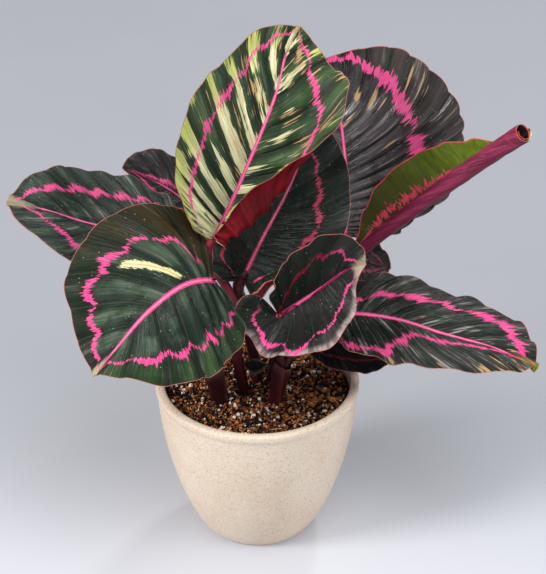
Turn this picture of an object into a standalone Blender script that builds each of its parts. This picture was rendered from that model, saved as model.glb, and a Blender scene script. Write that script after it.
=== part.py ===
"""Potted calathea: eleven leaf blades on their stalks, rooted in a round ceramic pot of potting mix.

Metres, +Z up. The origin is the centre of the pot's foot, and the plant's front faces -Y.
"""

import math
from typing import NamedTuple

import bmesh
import bpy
import numpy as np

MM = 0.001
GAP = 0.3
MERGE_DISTANCE = 0.02 * MM

# Pot, in millimetres: a round cachepot that flares quickly above a small flat foot.
POT_HEIGHT = 112.5
FOOT_RADIUS = 36.0
BODY_RADIUS = 66.5
RIM_RADIUS = 67.5
RIM_HEIGHT = 6.0
WALL = 6.0
FLOOR = 8.0
FLOOR_ROUND = 2.0
FLARE_POWER = 1.76
FLARE_ROUND = 0.77
LIP_RISE = 2.6
BEAD_UNDERCUT = 1.6
FOOT_CORNER = 1.5
TURN_STEPS = 40

# Potting mix.
SOIL_TOP = 104.0
SOIL_EDGE_DROP = 1.0
SOIL_FLAT_RADIUS = 40.0
SOIL_SHOULDER_RADIUS = 54.0

# Leaves and stalks.
BLADE_THICKNESS = 0.8
BLADE_ROWS = 16
HALF_COLUMNS = 5
BRACT_GRID = 8
ROLL_THICKNESS = 0.6

# Side veins leave the midrib early and straighten towards the margin.
VEIN_ROOT_POWER = 1.2
VEIN_STRAIGHT_SHARE = 0.55
CURL_STEPS = 24
LIFT_REACH = 0.3

# A stalk's end: how far it runs under its blade, and where it turns towards it.
STALK_TIP_RADIUS = 1.3
STALK_CLEARANCE = 0.4
STALK_UNDER_BLADE = 2.0
STALK_TURN = 6.0
STALK_TURN_DROP = 3.0
STALK_TAPER_POWER = 1.5

# A stalk or stem leaves its foot straight up for this far, so that its foot is level.
FOOT_RISE = np.array([0, 0, 1.5])

COLLECTION = "potted_calathea"


class Half(NamedTuple):
    """One side of a blade, seen on its upper face with the tip up. Angles are (base, middle, tip)."""

    width: float
    fold: tuple = (10, 10, 10)
    curl: tuple = (0, 0, 0)
    lobe: float = 0.05
    roll: tuple = ()
    reach: tuple = ()
    outline: tuple = ()
    lift: float = 0.0


class Leaf(NamedTuple):
    """A blade: midrib points from base to tip, and the way its upper face looks at each end."""

    midrib: tuple
    faces: tuple
    left: Half
    right: Half
    skew: float = 0.1
    sharp: float = 10.0
    colour: tuple = (0.02, 0.06, 0.03)


LEAVES = {
    "leaf_front_left": Leaf(
        midrib=((-27, -30, 205), (-41, -40, 209), (-64, -58, 201), (-85, -75, 183), (-96, -82, 172)),
        faces=((0, -0.6, 0.8), (-0.1, -0.7, 0.7)),
        left=Half(56, fold=(10, 0, 0), curl=(-20, -40, -20), lobe=0.28, reach=(1, 1.03, 1, 0.95, 0.8, 0.6)),
        right=Half(63, fold=(6, 5, 0), lobe=0.08),
    ),
    "leaf_top": Leaf(
        midrib=((-27, -12, 224), (-4, 11, 268), (12, 29, 304), (21, 43, 331), (28, 47, 341)),
        faces=((0, -1, 0.3), (0, -1, 0.3)),
        left=Half(52, fold=(30, 10, 10), curl=(20, 20, 10), lobe=0.03, reach=(1, 1, 1, 0.97, 0.9, 0.8)),
        right=Half(
            57,
            fold=(12, 8, 0),
            curl=(195, 88, 0),
            lobe=0.03,
            roll=(0.3, 0.74),
            reach=(1, 1, 1, 1.03, 1.15, 1.4),
        ),
        colour=(0.12, 0.22, 0.06),
    ),
    "leaf_centre": Leaf(
        midrib=((-9, -6, 192), (3, 9, 212), (21, 26, 242), (37, 42, 282)),
        faces=((0.2, -1, 0.3), (0.2, -1, 0.3)),
        left=Half(33, curl=(20, 20, 10), lobe=0.12),
        right=Half(49, fold=(20, 10, 10), curl=(120, 20, 0), lobe=0.14, roll=(0.3, 0.9)),
        skew=0.25,
    ),
    "leaf_low_centre": Leaf(
        midrib=((14, -34, 182), (40, -24, 196), (59, -15, 205), (69, -12, 206)),
        faces=((-0.1, -0.7, 0.7), (-0.1, -0.7, 0.7)),
        left=Half(36, fold=(50, 50, 30), curl=(10, 10, 10), lobe=0.0),
        right=Half(
            60,
            fold=(0, 0, 0),
            curl=(60, 30, 0),
            lift=6,
            outline=(
                (-0.08, -0.14),
                (-0.14, -0.32),
                (-0.34, -0.22),
                (-0.36, 0.1),
                (-0.27, 0.42),
                (0.04, 0.65),
                (0.46, 0.54),
                (0.74, 0.25),
                (1, 0),
            ),
        ),
        sharp=40.0,
        colour=(0.03, 0.04, 0.05),
    ),
    "leaf_right": Leaf(
        midrib=((50, 0, 162), (92, -6, 161), (118, -12, 155), (156, -20, 147), (180, -28, 139)),
        faces=((0, -0.25, 1), (0, -0.25, 1)),
        left=Half(40, fold=(15, 10, 10), curl=(-20, -20, 10)),
        right=Half(33, fold=(10, 5, 10), curl=(-20, -20, -20), reach=(1, 1.25, 1.05, 0.9, 0.82, 0.7)),
        skew=0.15,
    ),
    "leaf_right_low": Leaf(
        midrib=((35, 8, 141), (57, 2, 137), (87, -6, 129)),
        faces=((0, -0.3, 1), (0, -0.3, 1)),
        left=Half(24, curl=(-20, -20, 10)),
        right=Half(22, curl=(-20, -20, -20)),
        colour=(0.02, 0.02, 0.04),
    ),
    "leaf_back_right": Leaf(
        midrib=((58, 56, 189), (57, 68, 246), (51, 76, 278), (38, 80, 303)),
        faces=((0.1, -1, 0.3), (0.1, -1, 0.3)),
        left=Half(60, curl=(10, 10, 10)),
        right=Half(80, reach=(0.6, 0.8, 0.95, 1, 1, 1)),
        skew=-0.02,
        colour=(0.05, 0.02, 0.05),
    ),
    "leaf_left": Leaf(
        midrib=((-44, 30, 200), (-112, 10, 225), (-132, 4, 236), (-156, 2, 243)),
        faces=((0, -0.35, 1), (0, -0.35, 1)),
        left=Half(46, curl=(-10, -10, 10)),
        right=Half(47, curl=(-10, -10, -10)),
    ),
    "leaf_left_back": Leaf(
        midrib=((-39, 78, 193), (-71, 78, 219), (-90, 74, 230)),
        faces=((0, -0.4, 1), (0, -0.4, 1)),
        left=Half(24, curl=(-10, -10, 10)),
        right=Half(28, curl=(-10, -10, -10)),
        colour=(0.04, 0.01, 0.03),
    ),
    "leaf_right_back_small": Leaf(
        midrib=((62, 60, 175), (76, 60, 166), (90, 58, 162)),
        faces=((0, -0.5, 1), (0, -0.5, 1)),
        left=Half(16, curl=(-10, -10, 10)),
        right=Half(20, curl=(-10, -10, -10)),
        colour=(0.04, 0.02, 0.03),
    ),
}

# Dry, dark bract that curls open beside the middle stalks.
BRACT = Leaf(
    midrib=((-8, -2, 125), (-1, -4, 122), (6, -2, 125)),
    faces=((0, -0.5, 1), (0, -0.5, 1)),
    left=Half(7, fold=(40, 30, 40), curl=(40, 30, 30)),
    right=Half(7, fold=(30, 20, 30), curl=(40, 30, 30)),
    colour=(0.03, 0.025, 0.03),
)

# The new leaf that is still rolled up: its axis, and the flap of blade that stands open along it.
ROLL_AXIS = ((68, 30, 193), (119, 24, 243), (165, 18, 283))
ROLL_RADII = (4.5, 5.8, 6.5)
ROLL_TURNS = 1.6
ROLL_PITCH = 1.5
ROLL_FACE = (0, -0.86, 0.51)
FLAP_WIDTHS = (8, 19, 26, 28, 27, 23, 15, 4, 0)
ROLL_ROWS = 14
ROLL_COLUMNS = 26
FLAP_COLUMNS = 5
FLAP_LEAN = 0.08

# Sheathed stems: (points, radii) from the potting mix up.
STEMS = {
    "stem_left": (((-25, -15.5), (-26, -16), (-29, -17)), (104.3, 115, 130), (5.3, 6.2, 8)),
    "stem_right": (((12, -15), (14, -16), (17.5, -18)), (104.3, 118, 135), (5, 5.8, 7.5)),
}

STEM_RINGS = 6

# Stalks: points from the foot up, and the radius at the foot. Each ends under its own blade's base.
STALKS = {
    "leaf_front_left": (((-26, -22, 133.3), (-26, -22, 160), (-24, -22, 188)), 2.6),
    "leaf_top": (((-8, -3, 104.3), (-14, -8, 133), (-20, -9, 187)), 3.8),
    "leaf_centre": (((0, 8, 104.3), (-5, 5, 132), (-9, 2, 172)), 3.4),
    "leaf_low_centre": (((14, -21, 138.3), (14, -23, 155)), 2.6),
    "leaf_right": (((21.5, -19, 138.3), (27, -16, 148)), 2.6),
    "leaf_right_low": (((14, -3, 104.3), (20, 2, 124)), 2.4),
    "leaf_back_right": (((8, 5, 104.3), (18, 18, 145)), 3.0),
    "leaf_left": (((-34, -17, 133.3), (-38, -6, 165)), 2.6),
    "leaf_left_back": (((-27, -13, 133.3), (-29, 5, 160)), 2.4),
    "leaf_right_back_small": (((15, 7, 104.3), (28, 22, 132)), 2.4),
}
ROLL_STALK = (((17.5, -13.5, 138.3), (36, 4, 158)), 2.6)
ROLL_STALK_LEAD = 8.0


def unit(vectors):
    return vectors / np.linalg.norm(vectors, axis=-1, keepdims=True)


def smooth_curve(points, u):
    """Position and derivative on a smooth curve through the points; beyond its ends it runs straight."""
    knots = np.asarray(points, float)
    last = len(knots) - 1
    steps = np.linalg.norm(np.diff(knots, axis=0), axis=1)
    places = np.concatenate([[0.0], np.cumsum(steps)]) / steps.sum()
    slopes = np.gradient(knots, places, axis=0, edge_order=2 if last > 1 else 1)
    u = np.asarray(u, float)
    inside = np.clip(u, 0, 1)
    i = np.clip(np.searchsorted(places, inside, side="right") - 1, 0, last - 1)
    span = (places[i + 1] - places[i])[..., None]
    x = (inside - places[i])[..., None] / span
    start, end, leave, arrive = knots[i], knots[i + 1], slopes[i] * span, slopes[i + 1] * span
    position = (2 * x**3 - 3 * x**2 + 1) * start + (x**3 - 2 * x**2 + x) * leave
    position = position + (3 * x**2 - 2 * x**3) * end + (x**3 - x**2) * arrive
    slope = (6 * x**2 - 6 * x) * (start - end) + (3 * x**2 - 4 * x + 1) * leave
    slope = (slope + (3 * x**2 - 2 * x) * arrive) / span
    return position + slope * (u - inside)[..., None], slope


def three_point(values, u):
    """Quadratic through the values at the base, the middle and the tip."""
    u = np.clip(u, 0, 1)
    base, middle, tip = values
    return base * (1 - u) * (1 - 2 * u) + middle * 4 * u * (1 - u) + tip * u * (2 * u - 1)


def eased_knots(values, u):
    """Evenly spaced values joined by smooth steps."""
    values = np.asarray(values, float)
    place = u * (len(values) - 1)
    i = np.clip(place.astype(int), 0, len(values) - 2)
    x = place - i
    x = x * x * (3 - 2 * x)
    return values[i] * (1 - x) + values[i + 1] * x


def margin(leaf, half, s, length):
    """Where each side vein meets the margin: along the midrib (0 to 1) and out from it (mm)."""
    if half.outline:
        points, _ = smooth_curve([(*p, 0) for p in half.outline], s)
        return points[..., 0], points[..., 1] * length
    along = 0.5 * (1 - np.cos(np.pi * s)) - 2.2 * half.lobe * np.sin(np.pi * s) * (1 - s) ** 2
    out = half.width * np.sin(np.pi * s) * (1 + leaf.skew * np.cos(np.pi * s)) * (1 - s**leaf.sharp)
    if half.reach:
        out = out * eased_knots(half.reach, s)
    return along, out


def section_width(half, along, out, length):
    """Half the blade's width across the midrib at a place along it, which the curl is spread over."""
    if half.outline:
        return np.maximum(np.abs(out), 0.5 * length)
    inside = np.clip(along, 0.02, 0.98)
    ellipse = np.maximum(np.sqrt(1 - (1 - 2 * inside) ** 2), 0.35)
    return np.maximum(ellipse * half.width, np.abs(out))


def half_blade(leaf, half, side, s, t):
    """Points of one side of a blade. s runs from base to tip, t from the midrib to the margin."""
    midrib = np.asarray(leaf.midrib, float)
    length = np.linalg.norm(np.diff(midrib, axis=0), axis=1).sum()
    margin_along, margin_out = margin(leaf, half, s, length)
    vein_root = s**VEIN_ROOT_POWER
    lean = VEIN_STRAIGHT_SHARE * t + (1 - VEIN_STRAIGHT_SHARE) * t * t
    along = vein_root + (margin_along - vein_root) * lean
    out = margin_out * t
    spine, slope = smooth_curve(midrib, along)
    tangent = unit(slope)
    blend = np.clip(along, 0, 1)[..., None]
    face = np.asarray(leaf.faces[0]) * (1 - blend) + np.asarray(leaf.faces[1]) * blend
    normal = unit(face - (face * tangent).sum(-1, keepdims=True) * tangent)
    across = np.cross(tangent, normal)
    fold = np.radians(three_point(half.fold, along))
    curl = np.radians(three_point(half.curl, along))
    wide = section_width(half, along, out, length)
    begin, end = half.roll or (0, 1)
    sideways = np.zeros_like(out)
    rise = half.lift * np.clip(-along, 0, 1) / LIFT_REACH
    for j in range(CURL_STEPS):
        place = (j + 0.5) / CURL_STEPS * np.abs(out) / wide
        turn = np.clip((place - begin) / (end - begin), 0, 1)
        if half.roll:
            turn = turn * turn * (3 - 2 * turn)
        angle = fold + curl * turn
        sideways = sideways + np.cos(angle) * out / CURL_STEPS
        rise = rise + np.sin(angle) * np.abs(out) / CURL_STEPS
    return spine + across * (side * sideways)[..., None] + normal * rise[..., None]


def leaf_points(leaf, s, t):
    """Points in millimetres for s from base to tip and t from the left margin (-1) to the right (1)."""
    left = half_blade(leaf, leaf.left, -1, s, np.clip(-t, 0, 1))
    right = half_blade(leaf, leaf.right, 1, s, np.clip(t, 0, 1))
    return np.where((t < 0)[..., None], left, right)


def frame_at_base(leaf):
    """The blade's base point, the way its midrib leaves it and the way its upper face looks."""
    point, slope = smooth_curve(leaf.midrib, np.array([0.0]))
    tangent = unit(slope)[0]
    face = np.asarray(leaf.faces[0], float)
    return point[0], tangent, unit(face - (face @ tangent) * tangent)


def roll_points(s, t):
    """The rolled leaf: t runs from the flap's free edge round the roll to its inner edge."""
    axis, slope = smooth_curve(ROLL_AXIS, s)
    tangent = unit(slope)
    face = np.asarray(ROLL_FACE)
    front = unit(face - (face @ tangent[..., None]) * tangent)
    above = np.cross(front, tangent)
    radius = three_point(ROLL_RADII, s)
    flap_share = FLAP_COLUMNS / ROLL_COLUMNS
    wound = np.clip((t - flap_share) / (1 - flap_share), 0, 1)
    angle = np.pi + wound * ROLL_TURNS * 2 * np.pi
    coil = radius - wound * ROLL_TURNS * ROLL_PITCH
    loose = np.clip(1 - t / flap_share, 0, 1)
    flap = eased_knots(FLAP_WIDTHS, s) * loose
    forward = coil * np.cos(angle) - FLAP_LEAN * flap
    upward = coil * np.sin(angle) + flap
    return axis + front * forward[..., None] + above * upward[..., None]


def material(name, colour, roughness, metallic=0.0):
    made = bpy.data.materials.new(name)
    made.use_nodes = True
    shader = made.node_tree.nodes["Principled BSDF"]
    shader.inputs["Base Color"].default_value = (*colour, 1.0)
    shader.inputs["Roughness"].default_value = roughness
    shader.inputs["Metallic"].default_value = metallic
    made.diffuse_color = (*colour, 1.0)
    return made


def add_object(name, mesh, surface, collection):
    made = bpy.data.objects.new(name, mesh)
    collection.objects.link(made)
    mesh.materials.append(surface)
    mesh.shade_smooth()
    return made


def turned(name, profile, surface, collection):
    """A solid turned about Z from a profile of (radius, height) in millimetres."""
    form = bmesh.new()
    points = [form.verts.new((r * MM, 0, z * MM)) for r, z in profile]
    for a, b in zip(points, points[1:]):
        form.edges.new((a, b))
    mesh = bpy.data.meshes.new(name)
    form.to_mesh(mesh)
    form.free()
    made = add_object(name, mesh, surface, collection)
    screw = made.modifiers.new("turn", "SCREW")
    screw.steps = TURN_STEPS
    screw.render_steps = TURN_STEPS
    screw.use_merge_vertices = True
    screw.merge_threshold = MERGE_DISTANCE
    return made


def sheet(name, shape, rows, columns, thickness, surface, collection):
    """A thin blade: a flat grid moved onto shape(s, t), then given its thickness."""
    form = bmesh.new()
    bmesh.ops.create_grid(form, x_segments=columns, y_segments=rows, size=0.5)
    corners = np.array([v.co for v in form.verts])
    places = shape(corners[:, 1] + 0.5, corners[:, 0])
    for vertex, place in zip(form.verts, places):
        vertex.co = place * MM
    bmesh.ops.remove_doubles(form, verts=form.verts, dist=MERGE_DISTANCE)
    mesh = bpy.data.meshes.new(name)
    form.to_mesh(mesh)
    form.free()
    made = add_object(name, mesh, surface, collection)
    thick = made.modifiers.new("thickness", "SOLIDIFY")
    thick.thickness = thickness * MM
    thick.offset = 0.0
    return made


def tube(name, points, radii, surface, collection):
    """A round stalk: a bevelled curve with filled caps, through points in millimetres."""
    curve = bpy.data.curves.new(name, "CURVE")
    curve.dimensions = "3D"
    curve.bevel_depth = MM
    curve.bevel_resolution = 2
    curve.use_fill_caps = True
    spline = curve.splines.new("POLY")
    spline.points.add(len(points) - 1)
    for place, point, radius in zip(spline.points, points, radii):
        place.co = (*(np.asarray(point) * MM), 1.0)
        place.radius = radius
    made = bpy.data.objects.new(name, curve)
    collection.objects.link(made)
    curve.materials.append(surface)
    return made


def wall_radius(height):
    """Outer radius of the pot's body at a height, in millimetres."""
    share = 1 - (1 - min(height / POT_HEIGHT, 1.0)) ** FLARE_POWER
    return FOOT_RADIUS + (BODY_RADIUS - FOOT_RADIUS) * share**FLARE_ROUND


def inner_radius(height, clearance=0.0):
    return wall_radius(height) - WALL - clearance + (RIM_RADIUS - BODY_RADIUS)


def build_pot(collection):
    glaze = material("glazed_ceramic", (0.80, 0.71, 0.58), 0.35)
    crease = POT_HEIGHT - RIM_HEIGHT
    mouth = inner_radius(POT_HEIGHT)
    corner = FLOOR + FLOOR_ROUND
    inside = [(0.0, FLOOR), (inner_radius(corner) - FLOOR_ROUND, FLOOR)]
    inside += [(inner_radius(z), z) for z in np.linspace(corner, crease, 8)]
    lip_centre = (RIM_RADIUS + mouth) / 2
    lip_round = (RIM_RADIUS - mouth) / 2
    lip = []
    for angle in np.linspace(math.pi, 0, 7):
        height = POT_HEIGHT - LIP_RISE + LIP_RISE * math.sin(angle)
        lip.append((lip_centre + lip_round * math.cos(angle), height))
    bead = [(RIM_RADIUS, crease + BEAD_UNDERCUT), (wall_radius(crease), crease)]
    outside = [(wall_radius(z), z) for z in np.linspace(crease - RIM_HEIGHT / 2, FOOT_CORNER, 11)]
    foot = [(FOOT_RADIUS, 0.0), (0.0, 0.0)]
    turned("pot", inside + lip + bead + outside + foot, glaze, collection)


def build_potting_mix(collection):
    mix = material("potting_mix", (0.10, 0.045, 0.02), 0.95)
    edge_height = SOIL_TOP - SOIL_EDGE_DROP
    shoulder_height = SOIL_TOP - SOIL_EDGE_DROP / 2
    top = [(0.0, SOIL_TOP), (SOIL_FLAT_RADIUS, SOIL_TOP), (SOIL_SHOULDER_RADIUS, shoulder_height)]
    corner = FLOOR + FLOOR_ROUND
    sides = [(inner_radius(z, GAP), z) for z in np.linspace(edge_height, corner, 7)]
    bottom = [(inner_radius(corner, GAP) - FLOOR_ROUND, FLOOR + GAP), (0.0, FLOOR + GAP)]
    turned("potting_mix", top + sides + bottom, mix, collection)


def build_leaves(collection):
    for name, leaf in LEAVES.items():
        surface = material(name, leaf.colour, 0.4)
        sheet(
            name,
            lambda s, t: leaf_points(leaf, s, 2 * t),
            BLADE_ROWS,
            2 * HALF_COLUMNS,
            BLADE_THICKNESS,
            surface,
            collection,
        )


def build_rolled_leaf(collection):
    surface = material("leaf_rolled", (0.25, 0.02, 0.09), 0.35)
    sheet(
        "leaf_rolled",
        lambda s, t: roll_points(s, t + 0.5),
        ROLL_ROWS,
        ROLL_COLUMNS,
        ROLL_THICKNESS,
        surface,
        collection,
    )


def build_bract(collection):
    surface = material("dry_bract", BRACT.colour, 0.7)
    sheet(
        "bract",
        lambda s, t: leaf_points(BRACT, s, 2 * t),
        BRACT_GRID,
        BRACT_GRID,
        BLADE_THICKNESS,
        surface,
        collection,
    )


def build_stems(collection):
    sheath = material("stem_sheath", (0.10, 0.012, 0.03), 0.4)
    for name, (feet, heights, radii) in STEMS.items():
        knots = [(*foot, height) for foot, height in zip(feet, heights)]
        places = np.linspace(0, 1, STEM_RINGS)
        points, _ = smooth_curve(knots, places)
        points = [points[0], *(points + FOOT_RISE), points[-1] + 2 * FOOT_RISE]
        places = [0.0, *places, 1.0]
        tube(name, points, three_point(radii, np.array(places)), sheath, collection)


def stalk(name, knots, foot_radius, surface, collection):
    """A stalk that tapers from its foot to its tip through the knots."""
    places = np.linspace(0, 1, 4 * len(knots) - 3)
    points, _ = smooth_curve([np.add(knots[0], FOOT_RISE), *knots[1:]], places)
    widening = (foot_radius - STALK_TIP_RADIUS) * (1 - places) ** STALK_TAPER_POWER
    radii = STALK_TIP_RADIUS + widening
    tube(name, [knots[0], *points], [foot_radius, *radii], surface, collection)


def build_stalks(collection):
    surface = material("stalk", (0.22, 0.02, 0.06), 0.4)
    under = BLADE_THICKNESS / 2 + STALK_CLEARANCE + STALK_TIP_RADIUS
    for name, (knots, foot_radius) in STALKS.items():
        base, tangent, normal = frame_at_base(LEAVES[name])
        end = base + STALK_UNDER_BLADE * tangent - under * normal
        before = base - STALK_TURN * tangent - (under + STALK_TURN_DROP) * normal
        stalk(name.replace("leaf", "stalk"), [*knots, before, end], foot_radius, surface, collection)
    knots, foot_radius = ROLL_STALK
    axis = np.asarray(ROLL_AXIS, float)
    away = unit(axis[0] - axis[1])
    stalk(
        "stalk_rolled",
        [*knots, axis[0] + ROLL_STALK_LEAD * away, axis[0] + GAP * away],
        foot_radius,
        surface,
        collection,
    )


def clear_scene():
    for old in list(bpy.data.objects):
        bpy.data.objects.remove(old, do_unlink=True)


def main():
    clear_scene()
    collection = bpy.data.collections.new(COLLECTION)
    bpy.context.scene.collection.children.link(collection)
    build_pot(collection)
    build_potting_mix(collection)
    build_stems(collection)
    build_stalks(collection)
    build_leaves(collection)
    build_rolled_leaf(collection)
    build_bract(collection)


main()
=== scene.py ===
"""Potted calathea: the plant's leaves, stalks, potting mix and pot, finished around the packed frame.

Run as a script in Blender 4.5. Lengths in the tables below are millimetres, and meshes are in metres.
"""

import math
from typing import NamedTuple

import bmesh
import bpy
import mathutils
import numpy as np
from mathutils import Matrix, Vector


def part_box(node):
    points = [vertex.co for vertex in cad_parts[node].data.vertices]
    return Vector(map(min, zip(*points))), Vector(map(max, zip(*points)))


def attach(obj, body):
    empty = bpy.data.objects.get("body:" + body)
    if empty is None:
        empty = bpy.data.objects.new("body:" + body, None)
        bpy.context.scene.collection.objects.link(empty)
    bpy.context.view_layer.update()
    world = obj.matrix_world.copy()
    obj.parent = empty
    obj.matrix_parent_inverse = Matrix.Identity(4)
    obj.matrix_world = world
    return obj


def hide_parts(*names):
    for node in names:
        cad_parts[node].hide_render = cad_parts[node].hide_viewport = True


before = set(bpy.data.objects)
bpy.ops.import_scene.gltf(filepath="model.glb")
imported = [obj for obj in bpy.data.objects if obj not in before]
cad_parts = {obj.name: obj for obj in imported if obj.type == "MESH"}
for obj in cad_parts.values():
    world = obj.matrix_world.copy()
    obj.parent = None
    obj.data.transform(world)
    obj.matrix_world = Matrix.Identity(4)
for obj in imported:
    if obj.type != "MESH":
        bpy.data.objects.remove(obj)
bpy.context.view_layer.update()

bl_info = {
    "name": "Potted Calathea",
    "version": (1, 0, 0),
    "blender": (4, 5, 0),
    "location": "3D View > Sidebar > Calathea",
    "description": "Builds a rose-painted calathea in a speckled pot, piece by piece",
    "category": "Add Mesh",
}

MM = 0.001
BODY = "root"

# Blade grids: rows follow the side veins from base to tip, columns run from the midrib out. The edge
# column stands just inside the margin.
BLADE_ROWS = 168
BLADE_COLUMNS = 40
COLUMN_CROWDING = 1.5
EDGE_COLUMN = 0.988
VEIN_ROOT_POWER = 2.3
VEIN_STRAIGHT_SHARE = 0.7
CURL_STEPS = 24
LIFT_REACH = 0.3

# How far (mm) a piece's box may be from its CAD node's box.
FIT_TOLERANCE = 6.0


class Half(NamedTuple):
    """One side of a blade, seen on its upper face with the tip up. Angles are (base, middle, tip)."""

    width: float
    fold: tuple = (10, 10, 10)
    curl: tuple = (0, 0, 0)
    lobe: float = 0.05
    roll: tuple = ()
    reach: tuple = ()
    outline: tuple = ()
    lift: float = 0.0
    ring: tuple = (0.5, 0.62, 0.66, 0.64, 0.5)


class Look(NamedTuple):
    """What a blade's upper face looks like. Colours name the palette's.

    A streak has its start and end out from the midrib, its place along it, its slope and half its width.
    A turned margin has how far out it starts and how far along it reaches. A late ring has where it starts
    along the right side.
    """

    inner: str = "leaf_dark"
    # The lighter green: partly the leaf's own tone, partly painted light on each pillow's lit side.
    tone_and_sheen: str = "leaf_mid"
    border: str = "leaf_border"
    border_right: str = ""
    ring: str = "ring_pink"
    veins: int = 11
    relief: float = 0.55
    wave: float = 1.2
    ripple: float = 0.0
    frill: float = 0.5
    gloss: float = 0.2
    glint: float = 0.2
    tip: str = "cream"
    ring_width: float = 0.085
    scallop: float = 0.05
    cream: float = 0.0
    cream_base: float = 0.0
    cream_left: float = 0.0
    peach: float = 0.0
    streak: tuple = ()
    late_ring: float = 0.0
    light_through: float = 0.0
    tip_cream: float = 0.0
    rib: float = 1.3
    roughness: float = 0.36
    tone: float = 0.5
    pale_margin: float = 0.0
    shade_left: float = 0.0
    shade_lobe: float = 0.0
    turned: tuple = ()


class Leaf(NamedTuple):
    """A blade: midrib points from base to tip, and the way its upper face looks at each end."""

    midrib: tuple
    faces: tuple
    left: Half
    right: Half
    skew: float = 0.1
    sharp: float = 10.0
    slot: str = "leaf_dark"
    look: Look = Look()


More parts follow.
